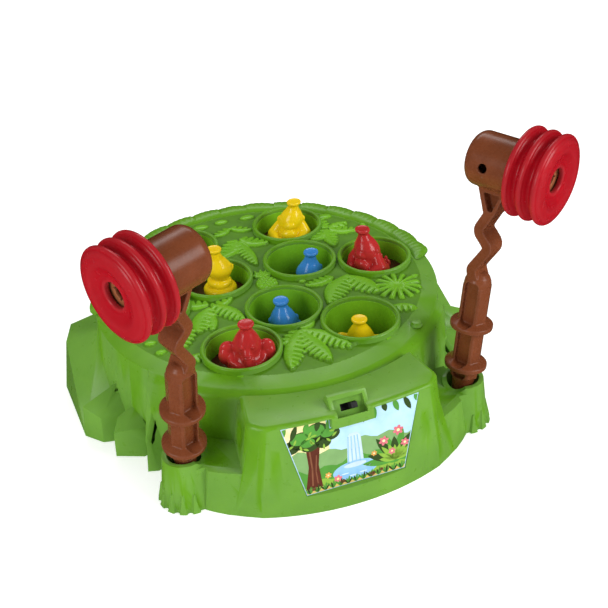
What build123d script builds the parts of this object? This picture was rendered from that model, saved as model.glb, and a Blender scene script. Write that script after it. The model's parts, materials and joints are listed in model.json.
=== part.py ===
from build123d import *
import os
from math import acos, cos, degrees, hypot, radians, sin, tan

# Jungle animal pounding game. The origin is on the ground under the deck's centre,
# +Z is up and the label side looks towards -Y. Lengths are in millimetres.
os.makedirs("parts", exist_ok=True)

# Wells in the deck
well_rim_inner_radius = 24.0
well_rim_outer_radius = 27.0
well_ring_radius = 83.8
well_core_radius = 37.2
well_ring_angles = (0, 60, 120, 180, 240, 300)
well_core_angles = (30, 150, 270)
rim_rise = 4.3
rim_rounding = 1.3
sleeve_inner_radius = 23.5
sleeve_wall = 1.7
sleeve_below_rim = 2.8
socket_depth = 7.0

# Housing
deck_height = 67.0
wall = 2.2
wall_draft = 7.0
drum_draft = 4.0
drum_side_radius = 126.0
drum_front_radius = 131.2
drum_step_y = -66.0
crease_radius = 110.0
lip_start_radius = 120.0
lip_end_radius = 128.0
lip_slope_drop = 2.2
lip_round_drop = 8.0
lip_bulge_share = 0.30
groove_radius = 130.6
groove_depth = 9.0
cut_overrun = 5.0
fit_gap = 0.05
plate_gap = 0.2
running_gap = 0.3

# Front block, at the ground and at its top
block_height = 67.0
block_back_y = -96.0
block_back_half_ground = 66.0
block_back_half_top = 54.0
block_corner_half_ground = 72.0
block_corner_half_top = 63.0
block_corner_y_ground = -143.0
block_corner_y_top = -146.0
block_front_half_ground = 62.0
block_front_half_top = 55.0
block_front_y_ground = -155.6
block_front_y_top = -154.0
block_nose_y_ground = -167.5
block_nose_y_top = -159.5
block_corner_rounding = 8.0
block_top_rounding = 3.0

# Ledges beside the front block and hammer holders
ledge_height = 30.0
ledge_outer_x = 97.0
ledge_inner_x = 60.0
ledge_front_y = -134.0
ledge_back_y = -92.0
dimple_radius = 7.0
dimple_x = 80.0
dimple_y = -124.0
dimple_depth = 1.3
holder_x = 96.9
holder_y = -116.5
holder_height = 34.1
holder_foot_radius = 17.4
holder_draft = 6.0
holder_skirt_height = 13.0
holder_skirt_radius = 19.5
holder_flute_radius = 1.9
holder_flute_count = 14
socket_radius = 10.75
socket_wall = 1.9
socket_floor = 4.0

# Label and its recess on the front face
label_lean = 7.06
label_low_z = 13.2
label_high_z = 64.4
label_low_half = 33.0
label_high_half = 45.2
label_low_y = -161.6
label_thickness = 0.4
label_margin = 0.3
label_notch_half = 14.0
label_notch_depth = 7.5

# Switch frame on the front ridge
switch_half_width = 12.4
switch_top_y = -149.2
switch_top_z = 73.6
switch_low_y = -158.4
switch_low_z = 60.3
switch_back_y = -140.0
switch_wall = 2.6
switch_pocket_depth = 2.2
switch_slot_half = 5.2
switch_slot_height = 4.4
switch_floor = 2.0
knob_half = 2.0
knob_stem_height = 2.6
knob_rise = 3.0
switch_body_width = 17.0
switch_body_height = 9.0
switch_body_depth = 6.0
switch_track_depth = 2.6

# Base plate and its screws
base_thickness = 2.5
case_boss_radius = 5.0
case_boss_ring = 111.0
case_boss_angles = (30, 90, 150, 210, 330)
ledge_boss_x = 76.0
ledge_boss_y = -112.0
screw_radius = 1.3
screw_head_radius = 2.8
screw_head_height = 1.4
case_screw_length = 12.0
screw_hole_radius = 1.6

# Cam disc, its axle and the lifters that it raises
gear_module = 2.0
disc_teeth = 92
disc_bottom = 7.0
disc_thickness = 3.0
stroke = 8.0
crest_gap = 0.3
track_width = 9.0
crest_first_ring = 15.0
crest_foot_half_angle_ring = 11.5
crest_top_half_angle_ring = 4.0
crest_first_core = 90.0
crest_foot_half_angle_core = 22.5
crest_top_half_angle_core = 8.0
disc_window_radius = 9.0
disc_window_ring = 61.0
disc_window_count = 8
hub_radius = 9.0
axle_radius = 3.0
washer_thickness = 0.8
washer_radius = 8.0
axle_boss_radius = 9.0
guide_bottom = 20.0
guide_thickness = 3.0
guide_radius = 94.0
guide_lobe_radius = 26.6
guide_post_radius = 5.0
guide_post_inner_ring = 50.0
guide_post_outer_ring = 99.0
guide_post_inner_angles = (90, 210, 330)
guide_post_outer_angles = (30, 90, 150)
guide_screw_length = 11.0
grommet_radius = 7.0
grommet_flange_radius = 9.0
grommet_flange_thickness = 1.5
stem_radius = 4.0
stem_gap = 0.06
stem_foot_rounding = 1.5
platform_gap = 0.5
platform_thickness = 3.0
platform_rounding = 0.8
seat_high = 55.5
seat_low = 37.5

# Gear train from the motor to the cam disc
fine_module = 1.0
pressure_angle = 20.0
addendum_share = 0.85
dedendum_share = 1.2
tooth_width_share = 0.43
output_teeth = 12
output_wheel_teeth = 26
first_teeth = 10
first_wheel_teeth = 40
motor_teeth = 8
output_angle = 263.0
first_direction = 260.0
motor_direction = 190.0
gear_thickness = 3.0
output_pinion_thickness = 4.0
output_wheel_z = 12.0
first_wheel_z = 16.5
gear_hub_radius = 3.6
pin_radius = 1.5
gear_boss_radius = 4.0
gearbox_plate_z = 21.0
gearbox_plate_thickness = 2.0
gearbox_post_radius = 3.5
gearbox_posts = ((-52.0, -140.0), (-20.0, -147.0), (-44.0, -106.0))
gearbox_pad = 4.5
gearbox_screw_length = 8.0
motor_radius = 12.0
motor_flat_half = 9.2
motor_length = 25.0
motor_shaft_radius = 1.0
motor_nose_radius = 3.5
motor_nose_height = 1.6
motor_bore_depth = 8.0

# Batteries under the front block, side by side along Y
battery_radius = 7.1
battery_length = 49.5
battery_nub_radius = 2.6
battery_nub_length = 1.0
battery_pitch = 14.8
battery_count = 3
battery_box_left = 9.0
battery_box_back_y = -97.0
battery_contact_thickness = 0.9
battery_contact_width = 9.0
battery_contact_height = 9.0
battery_box_wall = 1.2
battery_clearance = 0.2
door_thickness = 2.0
door_margin = 4.0
door_lip = 1.6
door_screw_length = 8.0

# Animals
knob_radius = 5.5
knob_neck_radius = 3.7
knob_cap_height = 3.2
knob_brow_share = 0.8
knob_crown_share = 0.17
elephant_height = 36.0
gorilla_height = 36.0
snake_height = 41.0

# Hammers, in their own frame: along the shaft, and along the head towards the bellows' face
hammer_head_rise = 153.2
hammer_left_foot = (-96.2, -117.4)
hammer_right_foot = (97.5, -116.3)
hammer_left_lean_shares = (0.026, -0.170)
hammer_right_lean_shares = (0.123, 0.026)
hammer_left_spin = 205.5
hammer_right_spin = 300.5
shaft_radius = 9.6
shaft_sides = 8
shaft_top = 70.0
shaft_dome_height = 9.0
shaft_start = 2.0
peg_top_radius = 8.0
peg_tip_radius = 5.6
peg_length = 18.0
shaft_ring_heights = (11.1, 40.8)
shaft_ring_radius = 14.0
shaft_ring_half = 3.8
shaft_ring_edge_half = 1.4
pocket_width = 9.4
pocket_depth = 5.2
pocket_rounding = 3.0
pocket_top = 73.0
neck_width = 15.0
neck_thickness = 6.6
neck_rounding = 5.0
neck_web = 2.4
barrel_radius = 17.1
barrel_wall = 2.0
barrel_back = 14.6
barrel_front = 21.0
barrel_rounding = 6.0
barrel_hole_radius = 3.0
bellows_radius = 27.8
bellows_root_radius = 23.0
bellows_crest_first = 39.4
bellows_pitch = 9.3
bellows_rib_count = 3
bellows_rear_gap = 5.2
bellows_face_rise = 3.6
bellows_wall = 1.8
bellows_face_radius = 19.5
bellows_hole_radius = 7.6
bellows_lip_depth = 1.4
bellows_dimple_radius = 15.0
bellows_dimple_depth = 2.6
catch_tube_radius = 11.5
catch_tube_wall = 1.6
catch_front_gap = 3.0
catch_hole_radius = 4.5
catch_flange_thickness = 2.0
catch_slot_width = 1.2
catch_slot_length = 12.0

rim_height = deck_height + rim_rise
drum_top_radius = drum_side_radius - deck_height * tan(radians(drum_draft))
sleeve_outer_radius = sleeve_inner_radius + sleeve_wall
sleeve_top = rim_height - sleeve_below_rim
guide_top = guide_bottom + guide_thickness
track_bottom = disc_bottom + disc_thickness
stem_foot_z = track_bottom + stroke + crest_gap
disc_pitch_radius = disc_teeth * gear_module / 2
platform_radius = sleeve_inner_radius - platform_gap


def polar(radius, angle):
    return (radius * cos(radians(angle)), radius * sin(radians(angle)))


wells = {}
for number, angle in enumerate(well_ring_angles, start=1):
    wells["ring_%d" % number] = polar(well_ring_radius, angle)
for number, angle in enumerate(well_core_angles, start=1):
    wells["core_%d" % number] = polar(well_core_radius, angle)
well_places = list(wells.values())


def save(builder, name):
    builder.part.label = name
    export_step(builder.part, "parts/%s.step" % name)


def upright(plane):
    """The plane whose first axis is the given plane's and whose second is its normal."""
    return Plane(origin=plane.origin, x_dir=plane.x_dir, z_dir=-plane.y_dir)


# Outlines of the housing, drawn in from the outside by an inset

def drum_outline(inset):
    reach = 2 * drum_front_radius
    Circle(drum_front_radius - inset)
    with Locations((0, drum_step_y - inset + reach / 2)):
        Rectangle(reach, reach, mode=Mode.SUBTRACT)
    Circle(drum_side_radius - inset)


def block_outline(back_half, corner_half, corner_y, front_half, front_y, nose_y, inset):
    right = [
        (back_half - inset, block_back_y),
        (corner_half - inset, corner_y + inset / 2),
        (front_half - inset, front_y + inset),
    ]
    left = [(-x, y) for x, y in reversed(right)]
    with BuildLine() as outline:
        Polyline(*right)
        ThreePointArc(right[-1], (0, nose_y + inset), left[0])
        Polyline(*left)
        Line(left[-1], right[0])
        corners = outline.vertices().filter_by(lambda v: v.Y < block_back_y - block_corner_rounding)
        fillet(corners, block_corner_rounding)
    make_face(outline.edges())


def block_ground(inset):
    block_outline(
        block_back_half_ground, block_corner_half_ground, block_corner_y_ground,
        block_front_half_ground, block_front_y_ground, block_nose_y_ground, inset,
    )


def block_top(inset):
    block_outline(
        block_back_half_top, block_corner_half_top, block_corner_y_top,
        block_front_half_top, block_front_y_top, block_nose_y_top, inset,
    )


# The front wall between block and holder: shares of the block's front half width, of its
# front line and of the ledge's height, below the ledge and up the block's corner
apron_low_shares = (
    (0.968, 1.005, 0.0), (1.100, 0.974, 0.0), (1.273, 0.932, 0.0), (1.398, 0.892, 0.0), (1.471, 0.864, 0.0),
    (1.471, 0.758, 0.0), (0.968, 0.758, 0.0),
)
apron_ledge_shares = (
    (1.177, 0.920, 1.0), (1.290, 0.895, 1.0), (1.397, 0.865, 1.0), (1.397, 0.758, 1.0), (0.968, 0.758, 1.0),
    (0.968, 0.958, 1.0),
)
flare_shares = (
    (0.968, 1.005, 0.0), (1.129, 0.968, 0.0), (1.226, 0.943, 0.0), (0.968, 0.900, 0.0),
    (0.895, 0.985, 1.8), (1.010, 0.936, 1.8), (0.935, 0.900, 1.8),
)
apron_tables = (apron_low_shares + apron_ledge_shares, flare_shares)


def apron_points(table, side, inset):
    points = []
    for x_share, y_share, height_share in table:
        x = x_share * block_front_half_ground - inset
        y = y_share * block_front_y_ground + inset
        z = height_share * ledge_height
        points.append((side * x, y, z - inset if height_share else 0))
    return points


def apron_outline(side, inset):
    with BuildLine() as outline:
        Polyline(*[(x, y) for x, y, z in apron_points(apron_low_shares, side, inset)], close=True)
    make_face(outline.edges())


def ledge_outline(side, inset):
    width = ledge_outer_x - ledge_inner_x
    depth = ledge_back_y - ledge_front_y
    with Locations((side * (ledge_inner_x + width / 2), (ledge_front_y + ledge_back_y) / 2)):
        Rectangle(width - 2 * inset, depth - 2 * inset)


def dome_profile(drop):
    """Half section of the deck's top, crease and rounded lip, lowered by drop."""
    flat = deck_height - drop
    lip = flat - lip_slope_drop
    edge = lip - lip_round_drop
    crease = crease_radius - drop
    start = lip_start_radius - drop
    end = lip_end_radius - drop
    outer = drum_front_radius + cut_overrun
    bulge = (
        start + (end - start) * (1 - lip_bulge_share),
        edge + (lip - edge) * (1 - lip_bulge_share),
    )
    with BuildLine() as outline:
        Polyline((0, 0), (0, flat), (crease, flat), (start, lip))
        ThreePointArc((start, lip), bulge, (end, edge))
        Polyline((end, edge), (outer, edge), (outer, 0), (0, 0))
    make_face(outline.edges())


# Rocks at the two sides: hulls of points given as shares of the drum's radius at the
# ground, angles in degrees and shares of the deck's height
rock_tall_shares = (
    (1.210, 168, 0.0), (1.128, 181, 0.0), (1.193, 192, 0.0), (0.900, 192, 0.0),
    (0.900, 160, 0.0), (1.165, 167, 0.55), (1.150, 160, 0.60), (0.930, 160, 0.78),
    (0.965, 172, 0.76), (0.975, 187, 0.37), (1.120, 181, 0.30),
)
rock_cube_shares = (
    (1.193, 192, 0.0), (1.140, 197.5, 0.0), (1.092, 199, 0.0), (0.900, 200, 0.0),
    (0.900, 188, 0.0), (1.175, 191.5, 0.35), (1.125, 197, 0.28), (0.960, 198, 0.30),
    (0.985, 193, 0.52),
)
rock_low_shares = (
    (1.154, 204.8, 0.0), (1.060, 211.2, 0.0), (0.900, 212, 0.0), (0.900, 200, 0.0),
    (1.145, 204.7, 0.27), (1.110, 206.8, 0.31), (1.070, 201.5, 0.34), (0.960, 202.5, 0.42),
    (1.010, 210.5, 0.30),
)
rock_spike_shares = (
    (1.141, 216.2, 0.0), (1.107, 218.6, 0.0), (0.900, 222, 0.0), (0.900, 210, 0.0),
    (1.100, 215.3, 0.36), (0.930, 213.2, 0.77), (0.960, 219, 0.30),
)
# The right side's tall rock is lower than the left one
rock_right_tall_shares = (
    (1.210, 168, 0.0), (1.128, 181, 0.0), (1.193, 192, 0.0), (0.900, 192, 0.0),
    (0.900, 160, 0.0), (1.165, 167, 0.44), (1.150, 160, 0.46), (0.930, 160, 0.50),
    (0.965, 172, 0.49), (0.975, 187, 0.37), (1.120, 181, 0.30),
)
rock_small_tables = (rock_cube_shares, rock_low_shares, rock_spike_shares)
rock_tables = {-1: (rock_tall_shares, *rock_small_tables), 1: (rock_right_tall_shares, *rock_small_tables)}


def rock_points(table, side, inset):
    points = []
    angles = [angle for radius_share, angle, height_share in table]
    middle = (min(angles) + max(angles)) / 2
    for radius_share, angle, height_share in table:
        radius = radius_share * drum_side_radius
        pull = degrees(inset / radius)
        if radius_share > 1:
            radius -= inset
        x, y = polar(radius, angle - pull if angle > middle else angle + pull)
        z = height_share * deck_height
        points.append((-side * x, y, z - inset if height_share else 0))
    return points


# Leaves on the deck: places as shares of the crease radius, length and width as shares
# of the deck's height, and the way the tip points in degrees
leaf_shares = (
    (-0.10, 0.49, 0.40, 0.20, 70), (0.09, 0.55, 0.36, 0.17, 100), (-0.35, -0.22, 0.46, 0.20, 245),
    (-0.49, -0.20, 0.52, 0.19, 265), (0.31, -0.17, 0.30, 0.17, 200), (0.42, -0.29, 0.56, 0.26, 225),
    (0.54, 0.33, 0.36, 0.18, 60), (0.73, 0.39, 0.34, 0.20, 50), (-0.03, -0.80, 0.42, 0.17, 255),
    (0.10, -0.84, 0.46, 0.20, 280), (0.20, -0.80, 0.40, 0.16, 300), (0.70, -0.64, 0.24, 0.14, 320),
    (-0.62, 0.40, 0.34, 0.17, 110), (-0.74, -0.36, 0.34, 0.18, 230), (0.00, -0.06, 0.10, 0.09, 90),
)
edge_leaf_shares = (
    (0.965, 14, 0.30, 60), (0.97, 22, 0.32, 85), (0.97, 30, 0.30, 75), (0.97, 38, 0.32, 100),
    (0.97, 46, 0.30, 95), (0.97, 54, 0.32, 110), (0.97, 62, 0.32, 120), (0.97, 71, 0.34, 130),
    (0.975, 79, 0.30, 45), (0.98, 86, 0.34, 150), (0.98, 94, 0.34, 30), (0.975, 101, 0.30, 135),
    (0.97, 109, 0.34, 50), (0.97, 118, 0.32, 60), (0.97, 126, 0.32, 70), (0.97, 134, 0.30, 85),
    (0.97, 142, 0.32, 80), (0.97, 150, 0.30, 105), (0.97, 158, 0.32, 95), (0.965, 166, 0.30, 120),
)
leaf_rise = 1.5
edge_leaf_width_share = 0.23
edge_leaf_depth = 5.0
edge_leaf_sink = 0.4
palm_x = 83.0
palm_y = -42.0
palm_radius = 17.0
palm_ray_width = 2.9
palm_ray_count = 14
palm_rise = 1.6
fruit_y = -3.0
fruit_half_width = 6.5
fruit_half_length = 8.5
fruit_rise = 1.8
pebble_radius = 4.2
pebble_shares = ((-0.18, 0.91), (-0.02, 0.93), (0.18, 0.88), (0.68, 0.67), (0.68, -0.82), (-0.68, 0.68))


def leaf(x, y, length, width, direction):
    """A pointed leaf outline, centred, with its tip in the given direction."""
    ux, uy = polar(1, direction)
    tip = (x + ux * length / 2, y + uy * length / 2)
    foot = (x - ux * length / 2, y - uy * length / 2)
    one = (x - uy * width / 2, y + ux * width / 2)
    other = (x + uy * width / 2, y - ux * width / 2)
    with BuildLine() as outline:
        ThreePointArc(foot, other, tip)
        ThreePointArc(tip, one, foot)
    make_face(outline.edges())


def label_outline(margin):
    """The label's outline, wider at the top, with a notch for the switch."""
    top = label_height + margin
    right = [
        (label_low_half + margin, -margin),
        (label_high_half + margin, top),
        (label_notch_half - margin, top),
        (label_notch_half - margin, top - label_notch_depth),
    ]
    left = [(-x, y) for x, y in reversed(right)]
    with BuildLine() as outline:
        Polyline(*right, *left, close=True)
    make_face(outline.edges())


label_plane = Plane(
    origin=(0, label_low_y, label_low_z),
    x_dir=(1, 0, 0),
    z_dir=(0, -cos(radians(label_lean)), sin(radians(label_lean))),
)
label_height = (label_high_z - label_low_z) / cos(radians(label_lean))
switch_dy = switch_low_y - switch_top_y
switch_dz = switch_low_z - switch_top_z
switch_face_height = hypot(switch_dy, switch_dz)
switch_plane = Plane(
    origin=(0, (switch_top_y + switch_low_y) / 2, (switch_top_z + switch_low_z) / 2),
    x_dir=(1, 0, 0),
    z_dir=(0, switch_dz, -switch_dy),
)
switch_pocket_plane = switch_plane.offset(-switch_pocket_depth)
switch_inside_plane = switch_pocket_plane.offset(-switch_floor)
groove_floor = deck_height - groove_depth

# Outer form of the round part, and the hollows inside it and inside the rest
with BuildPart() as drum:
    with BuildSketch():
        drum_outline(0)
    extrude(amount=deck_height, taper=drum_draft)
    with BuildSketch(Plane.XZ):
        dome_profile(0)
    revolve(axis=Axis.Z, mode=Mode.INTERSECT)

with BuildPart() as drum_hollow:
    with BuildSketch():
        drum_outline(wall)
    extrude(amount=deck_height, taper=drum_draft)
    with BuildSketch(Plane.XZ):
        dome_profile(wall)
    revolve(axis=Axis.Z, mode=Mode.INTERSECT)

with BuildPart() as front_hollow:
    with BuildSketch():
        block_ground(wall)
    with BuildSketch(Plane.XY.offset(block_height - wall)):
        block_top(wall)
    loft(ruled=True)
    with BuildSketch(Plane.XY.offset(groove_floor - wall)):
        Circle(groove_radius + wall)
    extrude(amount=groove_depth + cut_overrun, mode=Mode.SUBTRACT)
    with BuildSketch(label_plane.offset(-wall)):
        label_outline(label_margin + wall)
    extrude(amount=block_corner_rounding + cut_overrun, mode=Mode.SUBTRACT)
    for side in (-1, 1):
        with BuildSketch():
            ledge_outline(side, wall)
        extrude(amount=ledge_height - wall, taper=wall_draft)
        for table in apron_tables:
            ConvexPolyhedron(apron_points(table, side, wall))
        with BuildSketch():
            with Locations((side * holder_x, holder_y)):
                Circle(holder_foot_radius - wall)
        extrude(amount=holder_height - wall, taper=holder_draft)
        for table in rock_tables[side]:
            ConvexPolyhedron(rock_points(table, side, wall))

base_inset = wall + base_thickness * tan(radians(wall_draft)) + plate_gap
guide_post_places = [polar(guide_post_inner_ring, a) for a in guide_post_inner_angles]
guide_post_places += [polar(guide_post_outer_ring, a) for a in guide_post_outer_angles]
case_boss_places = [polar(case_boss_ring, a) for a in case_boss_angles]
ledge_boss_places = [(-ledge_boss_x, ledge_boss_y), (ledge_boss_x, ledge_boss_y)]
holder_places = [(-holder_x, holder_y), (holder_x, holder_y)]
under_deck = deck_height - wall * 0.9
under_ledge = ledge_height - wall / 2


def post(places, radius, bottom, top, mode=Mode.ADD):
    """Upright cylinders at the given places, from one height to another."""
    with BuildSketch(Plane.XY.offset(bottom)) as section:
        with Locations(*places):
            Circle(radius)
    extrude(section.sketch, amount=top - bottom, mode=mode)


with BuildPart() as top_housing:
    with BuildSketch():
        block_ground(0)
    with BuildSketch(Plane.XY.offset(block_height)):
        block_top(0)
    loft(ruled=True)
    fillet(top_housing.faces().sort_by(Axis.Z)[-1].edges(), block_top_rounding)
    post([(0, 0)], groove_radius, groove_floor, block_height + cut_overrun, Mode.SUBTRACT)
    with BuildSketch(label_plane):
        label_outline(label_margin)
    extrude(amount=block_corner_rounding + cut_overrun, mode=Mode.SUBTRACT)
    for side in (-1, 1):
        with BuildSketch():
            ledge_outline(side, 0)
        extrude(amount=ledge_height, taper=wall_draft)
        for table in apron_tables:
            ConvexPolyhedron(apron_points(table, side, 0))
        for table in rock_tables[side]:
            ConvexPolyhedron(rock_points(table, side, 0))
        with BuildSketch():
            with Locations((side * holder_x, holder_y)):
                Circle(holder_skirt_radius)
                with PolarLocations(holder_skirt_radius, holder_flute_count):
                    Circle(holder_flute_radius, mode=Mode.SUBTRACT)
        extrude(amount=holder_skirt_height, taper=2 * holder_draft)
        with BuildSketch():
            with Locations((side * holder_x, holder_y)):
                Circle(holder_foot_radius)
        extrude(amount=holder_height, taper=holder_draft)
    add(drum.part)
    # The switch's raised frame astride the front ridge
    with BuildSketch(Plane.YZ) as frame_section:
        with BuildLine():
            Polyline(
                (switch_back_y, block_height - wall / 2),
                (switch_top_y + switch_wall, switch_top_z),
                (switch_top_y, switch_top_z),
                (switch_low_y, switch_low_z),
                (switch_low_y + wall, switch_low_z - wall),
                (switch_back_y, switch_low_z - wall),
                close=True,
            )
        make_face()
    extrude(amount=switch_half_width, both=True)
    add(front_hollow.part, mode=Mode.SUBTRACT)
    add(drum_hollow.part, mode=Mode.SUBTRACT)
    # Rims and the sockets under them that take the sleeves
    post(well_places, well_rim_outer_radius, sleeve_top - socket_depth, rim_height)
    post(well_places, well_rim_inner_radius, 0, rim_height + cut_overrun, Mode.SUBTRACT)
    post(well_places, sleeve_outer_radius + fit_gap, 0, sleeve_top, Mode.SUBTRACT)
    rims = top_housing.edges().filter_by(GeomType.CIRCLE)
    fillet(rims.filter_by(lambda e: e.center().Z > rim_height - fit_gap), rim_rounding)
    # Posts for the guide plate, bosses for the base plate's screws, hammer sockets
    post(guide_post_places, guide_post_radius, guide_top, under_deck)
    post(case_boss_places, case_boss_radius, base_thickness, under_deck)
    post(ledge_boss_places, case_boss_radius, base_thickness, under_ledge)
    post(holder_places, socket_radius + socket_wall, socket_floor, holder_height)
    post(holder_places, socket_radius, socket_floor + wall, holder_height + cut_overrun, Mode.SUBTRACT)
    pilot = screw_radius + fit_gap
    post(guide_post_places, pilot, 0, guide_bottom + guide_screw_length + wall, Mode.SUBTRACT)
    post(case_boss_places + ledge_boss_places, pilot, 0, case_screw_length + wall, Mode.SUBTRACT)
    # Dimples in the ledges
    dimple_sphere = (dimple_radius ** 2 + dimple_depth ** 2) / (2 * dimple_depth)
    dimple_z = ledge_height + dimple_sphere - dimple_depth
    with Locations((-dimple_x, dimple_y, dimple_z), (dimple_x, dimple_y, dimple_z)):
        Sphere(dimple_sphere, mode=Mode.SUBTRACT)
    # The switch's pocket with its floor, slot and the seat behind it
    with BuildSketch(switch_pocket_plane):
        Rectangle(2 * switch_half_width - wall, switch_face_height - wall)
    extrude(amount=-switch_floor)
    with BuildSketch(switch_pocket_plane):
        Rectangle(2 * (switch_half_width - switch_wall), switch_face_height - 2 * switch_wall)
    extrude(amount=switch_pocket_depth + cut_overrun, mode=Mode.SUBTRACT)
    with BuildSketch(switch_inside_plane):
        Rectangle(2 * switch_slot_half, switch_slot_height)
    extrude(amount=switch_floor + cut_overrun, mode=Mode.SUBTRACT)
    with BuildSketch(switch_inside_plane):
        Rectangle(switch_body_width + 2 * plate_gap, switch_body_height + 2 * plate_gap)
    extrude(amount=-switch_body_depth - cut_overrun, mode=Mode.SUBTRACT)
    # Leaves, the star palm, the fruit and the pebbles that stand out of the deck
    for x_share, y_share, length_share, width_share, direction in leaf_shares:
        with BuildSketch(Plane.XY.offset(deck_height - wall / 2)) as leaf_section:
            leaf(
                x_share * crease_radius, y_share * crease_radius,
                length_share * deck_height, width_share * deck_height, direction,
            )
        extrude(leaf_section.sketch, amount=leaf_rise + wall / 2, taper=wall_draft)
    for radius_share, angle, length_share, direction in edge_leaf_shares:
        x, y = polar(radius_share * drum_top_radius, angle)
        with BuildSketch(Plane.XY.offset(deck_height - edge_leaf_sink - edge_leaf_depth)) as leaf_section:
            leaf(x, y, length_share * deck_height, edge_leaf_width_share * deck_height, direction)
        extrude(leaf_section.sketch, amount=edge_leaf_depth, taper=wall_draft)
    with BuildSketch(Plane.XY.offset(deck_height - wall / 2)) as palm:
        with Locations((palm_x, palm_y)):
            Circle(palm_radius / 3)
            with PolarLocations(palm_radius / 2, palm_ray_count):
                SlotOverall(palm_radius, palm_ray_width)
    extrude(palm.sketch, amount=palm_rise + wall / 2)
    with BuildSketch(Plane.XY.offset(deck_height - wall / 2)) as fruit:
        with Locations((0, fruit_y)):
            Ellipse(fruit_half_width, fruit_half_length)
        with Locations(*[(x * crease_radius, y * crease_radius) for x, y in pebble_shares]):
            Circle(pebble_radius)
    extrude(fruit.sketch, amount=fruit_rise + wall / 2, taper=3 * wall_draft)
    # The relief stays out of the wells
    post(well_places, well_rim_inner_radius, sleeve_top, rim_height + cut_overrun, Mode.SUBTRACT)
    post(well_places, sleeve_outer_radius + fit_gap, 0, sleeve_top, Mode.SUBTRACT)
save(top_housing, "top_housing")

with BuildPart() as well_sleeves:
    post(well_places, sleeve_outer_radius, guide_top, sleeve_top)
    post(well_places, sleeve_inner_radius, guide_top, sleeve_top, Mode.SUBTRACT)
save(well_sleeves, "well_sleeves")

with BuildPart() as label:
    with BuildSketch(label_plane):
        label_outline(0)
    extrude(amount=label_thickness)
save(label, "label")

knob_x = switch_slot_half - knob_half - plate_gap
with BuildPart() as switch_knob:
    with BuildSketch(switch_inside_plane.offset(plate_gap - switch_track_depth)):
        with Locations((knob_x, 0)):
            Rectangle(2 * knob_half, knob_stem_height + knob_half / 2)
    extrude(amount=switch_track_depth + switch_floor + knob_rise)
    fillet(switch_knob.faces().sort_by(Axis.Z)[-1].edges(), knob_half / 4)
save(switch_knob, "switch_knob")

with BuildPart() as switch_body:
    with BuildSketch(switch_inside_plane):
        Rectangle(switch_body_width, switch_body_height)
    extrude(amount=-switch_body_depth)
    with BuildSketch(switch_inside_plane):
        Rectangle(2 * switch_slot_half, switch_slot_height)
    extrude(amount=-switch_track_depth, mode=Mode.SUBTRACT)
save(switch_body, "switch_body")

# Battery bay in the base plate
bay_width = battery_count * battery_pitch + battery_clearance * 3
bay_length = battery_length + battery_nub_length + 2 * battery_contact_thickness + battery_clearance
bay_x = battery_box_left + bay_width / 2
bay_y = battery_box_back_y - bay_length / 2
battery_z = door_thickness + running_gap + battery_radius
bay_roof = battery_z + battery_radius + running_gap
battery_xs = [bay_x + (i - 1) * battery_pitch for i in range(battery_count)]
door_ear_x = battery_box_left - door_margin - door_lip
door_ear_y = bay_y - bay_length / 4


def bay_outline(margin):
    with Locations((bay_x, bay_y)):
        Rectangle(bay_width + 2 * margin, bay_length + 2 * margin)


def door_outline(margin):
    bay_outline(door_lip + margin)
    with Locations((door_ear_x, door_ear_y)):
        Circle(door_margin + margin)
    with Locations((door_ear_x + door_margin / 2, door_ear_y)):
        Rectangle(door_margin, 2 * (door_margin + margin))


# Places of the gear train
def polar_from(place, radius, angle):
    dx, dy = polar(radius, angle)
    return (place[0] + dx, place[1] + dy)


output_place = polar(disc_pitch_radius + gear_module * output_teeth / 2, output_angle)
first_span = fine_module * (output_wheel_teeth + first_teeth) / 2
first_place = polar_from(output_place, first_span, first_direction)
motor_span = fine_module * (first_wheel_teeth + motor_teeth) / 2
motor_place = polar_from(first_place, motor_span, motor_direction)
output_hub_bottom = disc_bottom - running_gap
first_hub_bottom = output_wheel_z - running_gap
output_top = first_wheel_z - 2 * running_gap
gearbox_top = gearbox_plate_z + gearbox_plate_thickness

with BuildPart() as base_plate:
    with BuildSketch():
        drum_outline(base_inset)
        block_ground(base_inset)
        for side in (-1, 1):
            ledge_outline(side, base_inset)
            apron_outline(side, base_inset)
    extrude(amount=base_thickness)
    with BuildSketch():
        bay_outline(door_lip + battery_box_wall)
    extrude(amount=door_thickness + base_thickness)
    with BuildSketch():
        bay_outline(battery_box_wall)
    extrude(amount=bay_roof + battery_box_wall)
    post([(door_ear_x, door_ear_y)], door_margin + battery_box_wall, 0, door_screw_length + wall)
    with BuildSketch():
        door_outline(plate_gap)
    extrude(amount=door_thickness, mode=Mode.SUBTRACT)
    with BuildSketch():
        bay_outline(0)
    extrude(amount=bay_roof, mode=Mode.SUBTRACT)
    post([(0, 0)], axle_boss_radius, 0, disc_bottom - washer_thickness - plate_gap)
    post([output_place], gear_boss_radius, 0, output_hub_bottom - plate_gap)
    post([first_place], gear_boss_radius, 0, first_hub_bottom - plate_gap)
    post(gearbox_posts, gearbox_post_radius, 0, gearbox_plate_z)
    post([(0, 0)], axle_radius + fit_gap, base_thickness, guide_bottom, Mode.SUBTRACT)
    pin_hole = pin_radius + fit_gap
    post([output_place, first_place], pin_hole, base_thickness, guide_bottom, Mode.SUBTRACT)
    post(gearbox_posts, pilot, gearbox_top - gearbox_screw_length - wall, guide_top, Mode.SUBTRACT)
    post([(door_ear_x, door_ear_y)], pilot, 0, door_screw_length, Mode.SUBTRACT)
    post(case_boss_places + ledge_boss_places, screw_hole_radius, 0, base_thickness, Mode.SUBTRACT)
    head_hole = screw_head_radius + plate_gap
    post(case_boss_places + ledge_boss_places, head_hole, 0, screw_head_height, Mode.SUBTRACT)
save(base_plate, "base_plate")

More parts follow.
